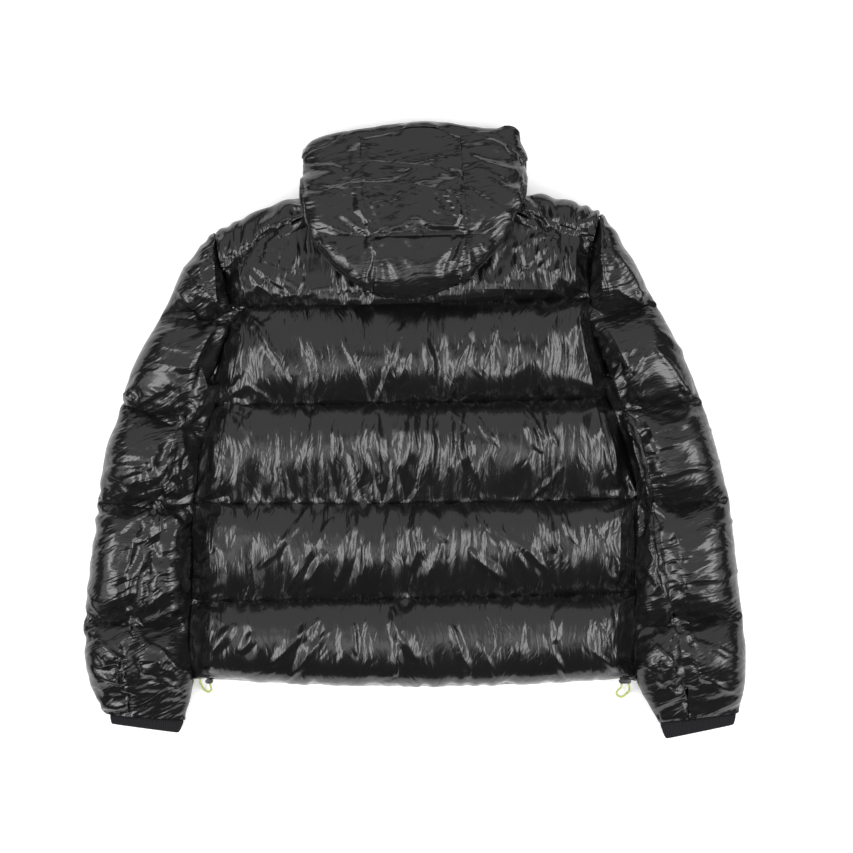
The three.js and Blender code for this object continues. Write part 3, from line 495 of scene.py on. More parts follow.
class Cloth:
    """Cloth cut larger than its frame, held on its seams, that settles into folds."""

    def __init__(self, skin, growth, seed):
        self.skin = skin
        base = skin.base
        patch = 0.75 + 0.75 * value_noise(base / 0.045, seed + 3)
        self.rest = []
        for row in skin.table:
            stretch = 1 + 0.5 * (patch + patch[row])[:, None] * np.array(growth)
            self.rest.append(np.linalg.norm((base[row] - base) * stretch, axis=1).astype(np.float32))
        held = base[skin.held]
        tree = KDTree(len(held))
        for k, p in enumerate(held):
            tree.insert(p, k)
        tree.balance()
        self.depth = np.array([tree.find(p)[2] for p in base])

    def normals(self, x):
        f = self.skin.faces
        cross = np.cross(x[f[:, 2]] - x[f[:, 0]], x[f[:, 3]] - x[f[:, 1]])
        n = np.stack([sum(np.bincount(f[:, k], c, len(x)) for k in range(4)) for c in cross.T], axis=1)
        return n / np.maximum(np.linalg.norm(n, axis=1), 1e-12)[:, None]

    def settle(self, start, rounds, push, bend_seam, bend_middle):
        """Moves the points towards their cut lengths, round by round, while the fill pushes out."""
        skin = self.skin
        free = (~skin.pinned).astype(np.float32)
        bend = bend_seam + (bend_middle - bend_seam) * np.clip(self.depth / 0.03, 0, 1) ** 1.5
        bend = (free * bend).astype(np.float32)
        base = [c.astype(np.float32) for c in skin.base.T]
        x = [c.astype(np.float32) for c in start.T]
        for step in range(rounds):
            if step % 12 == 0:
                normal = (self.normals(np.stack(x, axis=1)) * push).astype(np.float32).T
            move = [np.zeros_like(c) for c in x]
            for row, rest in zip(skin.table, self.rest):
                d = [c[row] - c for c in x]
                length = np.sqrt(d[0] * d[0] + d[1] * d[1] + d[2] * d[2]) + 1e-9
                pull = 1 - rest / length
                for m, c in zip(move, d):
                    m += pull * c
            for k in range(3):
                u = x[k] + free * (0.137 * move[k] + normal[k]) - base[k]
                rough = sum(u[row] for row in skin.table) * 0.125 - u
                rough = sum(rough[row] for row in skin.table) * 0.125 - rough
                x[k] = base[k] + u - bend * rough
        return np.stack(x, axis=1).astype(float)


def height_round(p):
    """Mean height of the cloth a little way off a point, on all sides."""
    heights = []
    for k in range(8):
        turn = k * math.pi / 4
        above = Vector((p[0] + 0.015 * math.cos(turn), p[1] + 0.015 * math.sin(turn), 0.3))
        hit = CAD_TREE.ray_cast(above, Vector((0, 0, -1)), 0.3)[0]
        if hit is not None and hit.z > p[2]:
            heights.append(hit.z)
    return sum(heights) / len(heights) if heights else p[2]


# Rays start this far off a point, step on this far past a surface that doesn't count, and count
# a surface whose normal and the ray's direction have a product below this
RAY_START = 0.0006
RAY_STEP = 0.0003
FACING = -0.15


def gap_ahead(point, direction, reach, own=None):
    """Distance to the next surface that faces the point and isn't of its own piece, and its piece."""
    run = RAY_START
    while run < reach:
        spot, normal, index, length = CAD_TREE.ray_cast(point + direction * run, direction, reach - run)
        if spot is None:
            break
        run += length
        if normal.dot(direction) < FACING and FACE_OWNERS[index] != own:
            return run, FACE_OWNERS[index]
        run += RAY_STEP
    return None, None


# Share of a gap that one side may swell into, and the least room
ROOM_SHARE = 0.45
ROOM_LEAST = 0.0005


def room_round(skin, reach):
    """How far each point may swell before it meets another surface."""
    room = np.full(len(skin.used), reach)
    for k, (p, n) in enumerate(zip(skin.base, skin.normals)):
        gap, _ = gap_ahead(Vector(p), Vector(n), 2 * reach)
        if gap is not None:
            room[k] = max(ROOM_SHARE * gap, ROOM_LEAST)
    return room


# The armpits, how far round each the cloth reaches further over, and how far it reaches there and
# elsewhere; walls count from this steepness, fully after the fade, and close this share of the gap
ARMPITS = [(-0.259, 0.078), (0.247, 0.078)]
ARMPIT_ROUND = 0.05
ARMPIT_REACH = 0.035
GAP_REACH = 0.014
WALL_FROM = 0.5
WALL_FADE = 0.3
GAP_SHARE = 0.8

# Narrow gaps beside the body close below this height, over this fade, and evenly
MEET_TOP = 0.056
MEET_FADE = 0.014
MEET_ROUNDS = 8

# Places where stitching gathers the cloth: x, y, how far its folds reach, and their number round it
GATHERS = [
    (-0.054, 0.244, 0.045, 13),
    (0.064, 0.254, 0.045, 13),
    (-0.073, 0.379, 0.030, 11),
    (0.058, 0.381, 0.030, 11),
    (-0.232, 0.223, 0.090, 15),
    (0.191, 0.255, 0.090, 15),
    (-0.252, 0.160, 0.045, 12),
    (0.226, 0.172, 0.045, 12),
    (-0.262, 0.032, 0.040, 12),
    (0.256, 0.042, 0.040, 12),
    (-0.290, -0.095, 0.035, 12),
    (0.290, -0.089, 0.035, 12),
    (-0.292, -0.222, 0.035, 12),
    (0.287, -0.211, 0.035, 12),
]


# Large folds in millimetres: x and y of one end, x and y of the other, half width
FOLDS = [
    (-207, 138, -164, 64, 6.5), (-96, 120, -64, 38, 4.9), (-19, 129, -44, 47, 4.9),
    (-12, 98, -21, 64, 6.5), (-241, 110, -236, 62, 8.1), (-216, 57, -190, 32, 3.2),
    (-172, 14, -172, -46, 3.2), (-135, 18, -148, -51, 6.5), (-101, 5, -103, -64, 5.7),
    (-70, 5, -75, -67, 6.5), (-45, 10, -42, -72, 8.1), (-8, 19, -14, -73, 8.9),
    (-244, 14, -259, -47, 8.1), (10, 112, 23, 64, 6.5), (66, 109, 41, 41, 6.5), (70, 107, 76, 71, 6.5),
    (106, 138, 88, 79, 4.1), (122, 105, 122, 57, 5.7), (194, 107, 194, 53, 4.1), (161, 101, 158, 49, 4.9),
    (49, 23, 75, -8, 2.8), (79, 10, 99, -21, 4.9), (138, 34, 164, -12, 4.9), (140, 6, 157, -28, 6.5),
    (166, 18, 181, -19, 4.1), (46, 5, 42, -47, 4.1), (63, -11, 84, -68, 6.5), (185, -51, 148, -89, 4.1),
    (239, 23, 259, -53, 9.8), (18, 12, 15, -63, 5.7), (-144, -112, -196, -176, 5.7),
    (-115, -122, -168, -202, 7.3), (-115, -164, -144, -202, 7.3), (-83, -116, -102, -198, 8.1),
    (-60, -146, -70, -187, 5.7), (-40, -110, -42, -170, 4.1), (-233, -255, -261, -291, 7.3),
    (-213, -263, -228, -284, 7.3), (-128, -250, -183, -300, 7.3), (-118, -263, -164, -317, 6.5),
    (-28, -236, -3, -291, 9.8), (-28, -275, -29, -313, 6.5), (5, -109, -1, -177, 8.1),
    (28, -149, 11, -194, 8.1), (25, -107, 41, -141, 5.7), (68, -101, 107, -153, 2.8),
    (72, -157, 115, -194, 7.3), (110, -128, 142, -187, 4.9), (118, -133, 171, -179, 5.7),
    (155, -103, 175, -153, 8.9), (228, -115, 253, -168, 3.2), (187, -107, 202, -144, 4.9),
    (50, -254, 68, -315, 7.3), (79, -276, 106, -328, 3.2), (136, -248, 138, -288, 4.1),
    (184, -232, 172, -275, 4.9), (167, -268, 193, -317, 4.9), (233, -248, 249, -279, 4.1),
    (228, -279, 258, -311, 3.2), (-86, -250, -79, -287, 4.9), (-255, -118, -274, -170, 6.5),
    (-232, 223, -162, 176, 4.1), (-253, 214, -216, 162, 4.9), (-226, 226, -151, 201, 3.2),
    (-235, 218, -188, 172, 3.2), (-219, 233, -157, 231, 3.2), (190, 253, 135, 207, 4.9),
    (196, 233, 166, 174, 4.9), (187, 246, 145, 187, 3.2), (200, 239, 194, 179, 4.1),
    (181, 257, 128, 233, 4.1), (239, 263, 246, 168, 4.1), (1, 313, 59, 300, 4.9), (16, 281, 64, 270, 4.1),
    (-60, 315, -21, 311, 4.1), (-66, 283, 5, 289, 3.2), (70, 307, 118, 281, 4.9),
    (72, 350, 124, 335, 4.1), (-145, 344, -86, 335, 4.1), (-141, 311, -73, 298, 4.1),
    (-131, 279, -66, 270, 3.2), (-50, 344, 31, 335, 3.2), (-392, -37, -356, -31, 5.7),
    (-395, -51, -353, -47, 4.9), (-375, -57, -320, -40, 4.9), (-371, -73, -359, -64, 4.1),
    (-385, -73, -371, -86, 3.2), (-366, 12, -339, 12, 3.2), (-411, -142, -375, -127, 4.1),
    (-408, -158, -359, -115, 4.1), (-349, -164, -307, -149, 3.2), (-359, -237, -300, -194, 4.9),
    (-353, -250, -296, -222, 4.9), (-424, -211, -408, -246, 3.2), (-327, -106, -287, -99, 3.2),
    (-313, -53, -287, -42, 4.1), (255, 114, 240, 86, 3.2), (281, 114, 250, 60, 4.1),
    (289, 90, 268, 53, 4.9), (292, 68, 278, 34, 4.1), (310, -1, 369, 19, 4.9), (304, -29, 384, -3, 4.1),
    (317, -58, 389, -42, 4.9), (327, -81, 374, -71, 3.2), (324, -144, 408, -118, 4.9),
    (317, -170, 402, -159, 4.1), (330, -202, 413, -185, 4.9), (337, -227, 408, -219, 4.1),
    (291, -131, 319, -170, 4.9), (291, -170, 322, -216, 4.9), (-331, 110, -271, 101, 4.1),
    (-333, 80, -274, 75, 4.1), (-346, 54, -294, 38, 4.1), (-300, 207, -263, 168, 4.1),
    (-310, 181, -274, 145, 4.1), (317, 122, 369, 75, 4.9), (310, 101, 356, 49, 4.1),
    (265, 218, 291, 168, 4.1), (267, 181, 304, 158, 4.1), (-417, -274, -375, -300, 4.1),
    (-411, -310, -372, -339, 4.1), (-357, -274, -307, -310, 4.1), (-352, -310, -302, -339, 4.1),
    (356, -274, 418, -302, 4.1), (353, -310, 413, -339, 4.1), (298, -274, 337, -305, 4.1),
    (304, -310, 337, -341, 4.1),
]

# The folds' height for their half width, and how much wider than the table says they are built
FOLD_SLOPE = 0.38
FOLD_WIDTH = 1.4


def fold_heights(base, seed):
    """Height of the large folds over points: straight crests that taper to both ends."""
    height = np.zeros(len(base))
    wander = 0.0035 * value_noise(base[:, [0, 1]] / 0.022, seed + 21)
    for k, row in enumerate(FOLDS):
        a = np.array(row[0:2]) / 1000
        b = np.array(row[2:4]) / 1000
        half = FOLD_WIDTH * row[4] / 1000
        along = (b - a) / np.linalg.norm(b - a)
        reach = np.linalg.norm(b - a)
        off = base[:, :2] - (a + b) / 2
        s = off @ along / (0.62 * reach)
        side = (off @ np.array([-along[1], along[0]]) + wander) / half
        side = side - 0.25 * (1 if k % 2 else -1)
        taper = np.sqrt(np.clip(1 - s * s, 0, 1))
        crest = np.clip(1 - np.abs(side) / np.maximum(taper, 0.2), 0, 1) * taper
        height = np.maximum(height, FOLD_SLOPE * half * crest)
    return height


def ridges(points, seed):
    """Noise with sharp crests, from -1 to 1."""
    return 1 - 2.6 * np.abs(value_noise(points, seed))


def seeds(base, grain, seed, turn=0.0):
    """First folds, which lean one way and the other across a seam and gather at the pinches."""
    lean = value_noise(base[:, [0, 1]] / 0.07, seed + 5)
    p = base.copy()
    p[:, 0] = base[:, 0] * math.cos(turn) + base[:, 1] * math.sin(turn)
    p[:, 1] = base[:, 1] * math.cos(turn) - base[:, 0] * math.sin(turn)
    p[:, 0] += 0.012 * lean
    p[:, 1] += 0.012 * value_noise(base[:, [0, 1]] / 0.06, seed + 6)
    p = p / np.array(grain)
    wave = 0.7 * value_noise(p, seed) + 0.5 * ridges(p * 0.8 + 7.7, seed + 9)
    for k, (x, y, reach, spokes) in enumerate(GATHERS):
        away = np.hypot(base[:, 0] - x, base[:, 1] - y)
        bearing = np.arctan2(base[:, 1] - y, base[:, 0] - x)
        wobble = value_noise(base[:, [0, 1]] / 0.02, seed + k)
        rays = np.cos(spokes * bearing + 1.5 * wobble)
        near = np.exp(-(away / reach) ** 2)
        wave = wave * (1 - near) + 1.6 * near * rays * np.clip(away / 0.02, 0, 1)
    return wave


def meet(skin, name):
    """Moves the low points that face another piece across a narrow gap most of the way over to it."""
    shift = np.zeros_like(skin.base)
    for k, (p, n) in enumerate(zip(skin.base, skin.normals)):
        level = math.hypot(n[0], n[1])
        if level < WALL_FROM:
            continue
        direction = Vector((n[0] / level, n[1] / level, 0))
        armpit = any(math.hypot(p[0] - x, p[1] - y) < ARMPIT_ROUND for x, y in ARMPITS)
        gap, other = gap_ahead(Vector(p), direction, ARMPIT_REACH if armpit else GAP_REACH, own=name)
        if gap is not None:
            level_seam = any({name, other} == {a, b} for a, b, _ in FLUSH_SEAMS)
            low = 1 if level_seam else min(max((MEET_TOP - p[2]) / MEET_FADE, 0), 1)
            share = GAP_SHARE * min((level - WALL_FROM) / WALL_FADE, 1) * low
            shift[k] = np.array(direction) * share * gap
    return skin.base + skin.blurred(shift, MEET_ROUNDS)


# Each settling: its rounds, and how much bends are evened out at the seams and in the middle
BROAD_SETTLING = dict(rounds=220, bend_seam=0.02, bend_middle=0.06)
FINE_SETTLING = dict(rounds=140, bend_seam=0.02, bend_middle=0.08)

# First folds of the fine mesh: their size and height beside the coarse mesh's, and their own seed
FINE_GRAIN = 0.5
FINE_HEIGHT = 0.14
FINE_SEED = 40

# How far the cloth may swell where there is room, and how far from a seam its finish gathers
SWELL_REACH = 0.02
GATHER_REACH = 0.012


def puff(mesh, growth, grain, seed, height, turn=0.0, push=3e-6, cap=0.009):
    """Wrinkles a piece's seen cloth, first in broad folds and then in fine ones."""
    skin = Skin(mesh)
    name = mesh.name.split(".")[0]
    if name == "back":
        skin.sag()
    skin.level_seams(name)
    skin.even_out(SMOOTH_ROUNDS)
    skin.base = meet(skin, name)
    skin.write(skin.base)
    cloth = Cloth(skin, growth, seed)
    wave = seeds(skin.base, grain, seed, turn) * ~skin.pinned
    start = skin.base + skin.normals * (height * wave)[:, None]
    broad = cloth.settle(start, push=push, **BROAD_SETTLING)
    plain = subdivided(mesh.copy(), 1)
    skin.write(broad)
    folded = subdivided(mesh, 1)
    skin = Skin(plain)
    cloth = Cloth(skin, growth, seed)
    start = coords(folded)[skin.used]
    wave = seeds(skin.base, [g * FINE_GRAIN for g in grain], seed + FINE_SEED, turn) * ~skin.pinned
    start = start + skin.normals * (FINE_HEIGHT * height * wave)[:, None]
    fine = cloth.settle(start, push=push, **FINE_SETTLING)
    u = fine - skin.base
    out = (u * skin.normals).sum(1)
    room = np.minimum(room_round(skin, SWELL_REACH), cap)
    limited = np.where(out > 0, room * np.tanh(out / room), out)
    limited = limited + fold_heights(skin.base, seed) * ~skin.pinned
    skin.write(skin.base + u + skin.normals * (limited - out)[:, None])
    bpy.data.meshes.remove(folded)
    crease = np.empty(len(plain.edges), np.float32)
    plain.attributes["crease_edge"].data.foreach_get("value", crease)
    plain.edges.foreach_set("use_edge_sharp", crease > 0.5)
    near = np.ones(len(plain.vertices))
    near[skin.used] = np.exp(-cloth.depth / GATHER_REACH)
    plain.attributes.new("near_seam", "FLOAT", "POINT").data.foreach_set("value", near.astype(np.float32))
    return plain


def piece_done(obj, nodes, material):
    """Gives a finished piece its finish and its place in the frame's table."""
    smooth_faces(obj.data)
    obj.data.materials.clear()
    obj.data.materials.append(material)
    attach(obj, "root")
    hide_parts(*nodes)
    return obj


# Shader helpers


class Sock:
    """A shader socket that takes part in Python sums."""

    def __init__(self, tree, socket):
        self.tree = tree
        self.socket = socket

    def math(self, operation, *others):
        return self.tree.node("ShaderNodeMath", {"operation": operation}, self, *others)

    def __add__(self, other):
        return self.math("ADD", other)

    def __mul__(self, other):
        return self.math("MULTIPLY", other)

    def __sub__(self, other):
        return self.math("SUBTRACT", other)

    def __rsub__(self, other):
        return self.tree.node("ShaderNodeMath", {"operation": "SUBTRACT"}, other, self)

    __radd__ = __add__
    __rmul__ = __mul__


class Finish:
    """A material whose nodes are written as expressions."""

    def __init__(self, name):
        self.material = bpy.data.materials.new(name)
        self.material.use_nodes = True
        self.nodes = self.material.node_tree.nodes
        self.links = self.material.node_tree.links
        self.shader = self.nodes["Principled BSDF"]

    def put(self, socket, value):
        if isinstance(value, Sock):
            self.links.new(value.socket, socket)
        else:
            socket.default_value = value

    def node(self, kind, settings=None, *values, output=0, **named):
        made = self.nodes.new(kind)
        for key, value in (settings or {}).items():
            setattr(made, key, value)
        for k, value in enumerate(values):
            if value is not None:
                self.put(made.inputs[k], value)
        for key, value in named.items():
            self.put(made.inputs[key.replace("_", " ")], value)
        return Sock(self, made.outputs[output])

    def set(self, **named):
        for key, value in named.items():
            self.put(self.shader.inputs[key.replace("_", " ")], value)


def grey(level, tint=(1.0, 1.0, 1.0)):
    return (level * tint[0], level * tint[1], level * tint[2], 1.0)


def nylon_finish(name, look, turn, share):
    """Glossy nylon whose fine wrinkles run at this angle to the jacket's length."""
    f = Finish(name)
    place = f.node("ShaderNodeTexCoord", output=3)
    near = f.node("ShaderNodeAttribute", {"attribute_name": "near_seam"}, output=2)
    broad = f.node("ShaderNodeTexNoise", None, Vector=place, Scale=9.0, Detail=2.0)
    patch = f.node("ShaderNodeTexNoise", None, Vector=place, Scale=26.0, Detail=2.0)
    drift = f.node("ShaderNodeTexNoise", None, Vector=place, Scale=16.0, Detail=1.0, output=1)
    bent = f.node("ShaderNodeVectorMath", {"operation": "MULTIPLY_ADD"}, drift, (0.03, 0.03, 0.0), place)

    def wrinkles(angle, scale, detail):
        turned = f.node("ShaderNodeMapping", None, Vector=bent, Rotation=(0.0, 0.0, turn + angle))
        fine = f.node("ShaderNodeMapping", None, Vector=turned, Scale=scale)
        return f.node("ShaderNodeTexNoise", None, Vector=fine, Scale=1.0, Detail=detail, Roughness=0.5)

    def crests(value):
        return (value * 2.0 - 1.0).math("ABSOLUTE")

    def clamped(value):
        return value.math("MAXIMUM", 0.0).math("MINIMUM", 1.0)

    long = crests(wrinkles(0.0, (85.0, 9.0, 30.0), 2.0))
    fine = wrinkles(0.1, (230.0, 22.0, 70.0), 3.0)
    slanted = crests(wrinkles(0.5, (70.0, 11.0, 40.0), 2.0))
    other = crests(wrinkles(-0.45, (80.0, 12.0, 40.0), 2.0))
    crinkle = f.node("ShaderNodeTexNoise", None, Vector=place, Scale=170.0, Detail=3.0, Roughness=0.6)
    up = clamped((patch - 0.42) * 4.0)
    down = clamped((0.56 - patch) * 4.0)
    height = long * (near + 1.0) + fine * 0.43 + slanted * up * 1.3 + other * down * 1.1 + crinkle * 0.07
    mix = f.node("ShaderNodeMix", {"data_type": "RGBA"}, output=2)
    f.put(mix.socket.node.inputs[0], broad)
    f.put(mix.socket.node.inputs[6], (*[0.7 * c for c in look.colour], 1.0))
    f.put(mix.socket.node.inputs[7], (*[1.4 * c for c in look.colour], 1.0))
    bump = f.node("ShaderNodeBump", None, Strength=0.9, Distance=1.0, Height=height * (share * look.wrinkle))
    f.set(Base_Color=mix, Roughness=broad * 0.10 + look.blur, Normal=bump, IOR=1.5)
    return f.material


def rib_finish(look):
    """Matte knit with a rib every rib_pitch round the cuff, with painted shade darkening the grooves between
    ribs.
    """
    f = Finish("rib")
    place = f.node("ShaderNodeTexCoord", output=3)
    across = f.node("ShaderNodeAttribute", {"attribute_name": "across"}, output=2)
    rib = (across * (math.pi / look.rib_pitch)).math("SINE").math("ABSOLUTE")
    yarn = f.node("ShaderNodeTexNoise", None, Vector=place, Scale=900.0, Detail=2.0)
    # Painted shade: the rib wave that raises the bump also darkens the colour to 0.4 of the rib colour in
    # the grooves
    mix = f.node("ShaderNodeMix", {"data_type": "RGBA"}, output=2)
    f.put(mix.socket.node.inputs[0], rib)
    f.put(mix.socket.node.inputs[6], (*[0.4 * c for c in look.rib_colour], 1.0))
    f.put(mix.socket.node.inputs[7], (*look.rib_colour, 1.0))
    bump = f.node("ShaderNodeBump", None, Strength=0.8, Distance=1.0, Height=rib * 0.0006 + yarn * 0.0003)
    f.set(Base_Color=mix, Roughness=0.95, Normal=bump, Specular_IOR_Level=0.15)
    return f.material


def elastic_finish(look):
    """Matte braid: strands cross round the cord, with painted shade darkening the colour where the braid
    dips.
    """
    f = Finish("elastic")
    along = f.node("ShaderNodeAttribute", {"attribute_name": "along"}, output=2)
    round_it = f.node("ShaderNodeAttribute", {"attribute_name": "round_it"}, output=2)
    turn = along * (2 * math.pi / look.braid_pitch)
    braid = (turn + round_it * 3.0).math("SINE") * (turn - round_it * 3.0).math("SINE")
    # Painted shade: the braid wave that sets the bump also darkens the colour to 0.6 of the cord colour
    # where the strands dip
    mix = f.node("ShaderNodeMix", {"data_type": "RGBA"}, output=2)
    f.put(mix.socket.node.inputs[0], braid * 0.5 + 0.5)
    f.put(mix.socket.node.inputs[6], (*[0.6 * c for c in look.cord_colour], 1.0))
    f.put(mix.socket.node.inputs[7], (*look.cord_colour, 1.0))
    bump = f.node("ShaderNodeBump", None, Strength=0.6, Distance=1.0, Height=braid * 0.0002)
    f.set(Base_Color=mix, Roughness=0.75, Normal=bump)
    return f.material


def plastic_finish(look):
    """Black moulded plastic with a faint grain."""
    f = Finish("plastic")
    place = f.node("ShaderNodeTexCoord", output=3)
    grain = f.node("ShaderNodeTexNoise", None, Vector=place, Scale=1500.0, Detail=2.0)
    bump = f.node("ShaderNodeBump", None, Strength=0.3, Distance=1.0, Height=grain * 0.0001)
    f.set(Base_Color=grey(0.012), Roughness=grain * 0.2 + 0.3, Normal=bump)
    return f.material


def thread_finish(look):
    """Black polyester sewing thread."""
    f = Finish("thread")
    f.set(Base_Color=grey(0.008), Roughness=0.9, Specular_IOR_Level=0.1)
    return f.material


def tape_finish(look):
    """Black woven zip tape."""
    f = Finish("tape")
    place = f.node("ShaderNodeTexCoord", output=3)
    weave = f.node("ShaderNodeTexWave", {"bands_direction": "Y"}, Vector=place, Scale=320.0)
    bump = f.node("ShaderNodeBump", None, Strength=0.4, Distance=1.0, Height=weave * 0.0002)
    f.set(Base_Color=grey(0.012), Roughness=0.85, Normal=bump)
    return f.material


# Each nylon finish: the angle that its fine wrinkles run at, and their share of the full height
NYLON_LOOKS = {
    "nylon": (0.0, 0.8),
    "nylon_hood": (1.35, 0.9),
    "nylon_left": (-2.0, 1.1),
    "nylon_right": (1.15, 0.9),
}
TRIM_FINISHES = {
    "rib": rib_finish,
    "elastic": elastic_finish,
    "plastic": plastic_finish,
    "thread": thread_finish,
    "tape": tape_finish,
}


FINISHES = {}


def finish_of(name):
    """The finish of that name, made when it is first asked for."""
    if name not in FINISHES:
        scene = bpy.context.scene
        if name in NYLON_LOOKS:
            FINISHES[name] = nylon_finish(name, scene.jacket_cloth, *NYLON_LOOKS[name])
        else:
            FINISHES[name] = TRIM_FINISHES[name](scene.jacket_trim)
    return FINISHES[name]


# Stage


def area_light(name, place, aim, size, power):
    data = bpy.data.lights.new(name, "AREA")
    data.shape = "RECTANGLE"
    data.size, data.size_y = size
    data.energy = power
    obj = bpy.data.objects.new(name, data)
    bpy.context.scene.collection.objects.link(obj)
    obj.location = place
    obj.rotation_euler = (Vector(aim) - Vector(place)).to_track_quat("-Z", "Y").to_euler()
    obj.visible_camera = False
    return obj


# Name, place, size and radiance of each light: two on the hem side draw the bands across the
# baffles, two at each side draw the folds, and the panel beyond the hood greys the upper slopes
SOFTBOXES = [
    ("near_softbox", (-0.1, -0.38, 1.35), (0.5, 0.36), 1.5),
    ("wide_softbox", (-0.1, -0.30, 1.38), (1.3, 0.80), 0.9),
    ("left_softbox", (-1.3, -0.35, 1.4), (2.0, 1.4), 1.6),
    ("right_softbox", (1.3, -0.35, 1.4), (2.0, 1.4), 1.6),
    ("left_core", (-1.05, -0.30, 1.5), (1.5, 0.5), 6.0),
    ("right_core", (1.05, -0.30, 1.5), (1.5, 0.5), 6.0),
    ("back_panel", (0.0, 2.2, 2.6), (5.0, 4.6), 0.85),
]


# The floor's half width and height
FLOOR_HALF = 6.0
FLOOR_Z = -0.001


def make_stage(look):
    scene = bpy.context.scene
    data = bpy.data.cameras.new("camera")
    data.lens, data.sensor_width = LENS, SENSOR
    camera = bpy.data.objects.new("camera", data)
    scene.collection.objects.link(camera)
    camera.location = (*VIEW_CENTRE, VIEW_HEIGHT + VIEW_WIDTH * LENS / SENSOR)
    data.clip_end = 50
    scene.camera = camera

    mesh = bpy.data.meshes.new("floor")
    corners = [(-1, -1), (1, -1), (1, 1), (-1, 1)]
    mesh.from_pydata([(FLOOR_HALF * x, FLOOR_HALF * y, FLOOR_Z) for x, y in corners], [], [(0, 1, 2, 3)])
    floor = link(mesh, "floor")
    f = Finish("floor")
    f.set(Base_Color=grey(0.9), Roughness=0.9, Specular_IOR_Level=0.1)
    f.set(Emission_Color=grey(1.0), Emission_Strength=look.floor_glow)
    mesh.materials.append(f.material)

    for label, place, size, radiance in SOFTBOXES:
        area_light(label, place, (0, 0, 0), size, look.light * radiance * math.pi * size[0] * size[1])
    world = bpy.data.worlds.new("studio")
    scene.world = world
    world.use_nodes = True
    world.node_tree.nodes["Background"].inputs[0].default_value = (0.5, 0.5, 0.5, 1)
    world.node_tree.nodes["Background"].inputs[1].default_value = look.ambient
    scene.view_settings.view_transform = "Standard"


ACROSS_BODY = dict(growth=(0.07, 0.0, 0.02), grain=(0.017, 0.09, 0.07), height=0.0019)
LEFT_SLEEVE = dict(growth=(0.045, 0.065, 0.055), grain=(0.013, 0.055, 0.055), height=0.002, turn=2.0)
RIGHT_SLEEVE = dict(growth=(0.035, 0.05, 0.045), grain=(0.013, 0.055, 0.055), height=0.0017, turn=-1.15)
ROUND_SHOULDER = dict(growth=(0.09, 0.08, 0.06), grain=(0.013, 0.03, 0.03), height=0.0018)
ROUND_HOOD = dict(growth=(0.04, 0.055, 0.05), grain=(0.014, 0.05, 0.05), height=0.0016, turn=-1.35)
ROUND_BRIM = dict(growth=(0.03, 0.02, 0.03), grain=(0.010, 0.04, 0.04), height=0.0008)
PLAIN = dict(growth=(0.05, 0.03, 0.03), grain=(0.02, 0.04, 0.04), height=0.001)

# How each padded piece wrinkles, its random seed and its finish
PADDED = {
    "back": (ACROSS_BODY, 11, "nylon"),
    "shoulder_left": (ROUND_SHOULDER, 18, "nylon"),
    "shoulder_right": (ROUND_SHOULDER, 25, "nylon"),
    "sleeve_top_left": (LEFT_SLEEVE, 32, "nylon_left"),
    "sleeve_top_right": (RIGHT_SLEEVE, 39, "nylon_right"),
    "sleeve_under_left": (LEFT_SLEEVE, 46, "nylon_left"),
    "sleeve_under_right": (RIGHT_SLEEVE, 53, "nylon_right"),
    "hood_centre": (ROUND_HOOD, 60, "nylon_hood"),
    "hood_side_left": (ROUND_HOOD, 67, "nylon_hood"),
    "hood_side_right": (ROUND_HOOD, 74, "nylon_hood"),
    "hood_brim": (ROUND_BRIM, 81, "nylon_hood"),
    "hood_chin_left": (PLAIN, 88, "nylon_hood"),
    "hood_chin_right": (PLAIN, 95, "nylon_hood"),
    "front_left": (PLAIN, 102, "nylon"),
    "front_right": (PLAIN, 109, "nylon"),
}


def make_padded(name, look):
    """One padded piece, puffed and wrinkled from its CAD node."""
    cut, seed, finish = PADDED[name]
    hidden = name.startswith(("front", "hood_chin"))
    bm = padded_mesh(name, look.plain_edge if hidden else look.mesh_edge)
    mesh = bpy.data.meshes.new(name)
    bm.to_mesh(mesh)
    bm.free()
    obj = link(puff(mesh, seed=seed, **cut), name + "_cloth")
    piece_done(obj, [name], finish_of(finish))


def hermite(points, count):
    """A smooth line of evenly spaced points through the given ones."""
    p = np.array(points)
    ends = np.concatenate([[2 * p[0] - p[1]], p, [2 * p[-1] - p[-2]]])
    line = []
    for i in range(1, len(ends) - 2):
        for t in np.linspace(0, 1, 20, endpoint=False):
            a, b, c, d = ends[i - 1:i + 3]
            line.append(0.5 * (2 * b + (c - a) * t + (2 * a - 5 * b + 4 * c - d) * t * t
                               + (3 * b - a - 3 * c + d) * t ** 3))
    line = np.array(line + [p[-1]])
    run = np.concatenate([[0], np.cumsum(np.linalg.norm(np.diff(line, axis=0), axis=1))])
    even = np.linspace(0, run[-1], count)
    return np.stack([np.interp(even, run, line[:, k]) for k in range(3)], axis=1), float(run[-1])


def tube(name, line, radius, sides):
    """A closed tube along a line."""
    tangent = np.gradient(line, axis=0)
    tangent /= np.linalg.norm(tangent, axis=1)[:, None]
    side = np.cross(tangent[0], (0.3, 0.2, 0.9))
    verts, rows = [], len(line)
    for t, p in zip(tangent, line):
        side = side - t * side.dot(t)
        side /= np.linalg.norm(side)
        other = np.cross(t, side)
        for k in range(sides):
            turn = 2 * math.pi * k / sides
            verts.append(p + radius * (math.cos(turn) * side + math.sin(turn) * other))
    faces = [
        (r * sides + k, r * sides + (k + 1) % sides, (r + 1) * sides + (k + 1) % sides, (r + 1) * sides + k)
        for r in range(rows - 1) for k in range(sides)
    ]
    faces += [tuple(range(sides))[::-1], tuple((rows - 1) * sides + k for k in range(sides))]
    mesh = bpy.data.meshes.new(name)
    mesh.from_pydata([tuple(v) for v in verts], [], faces)
    return link(mesh, name)


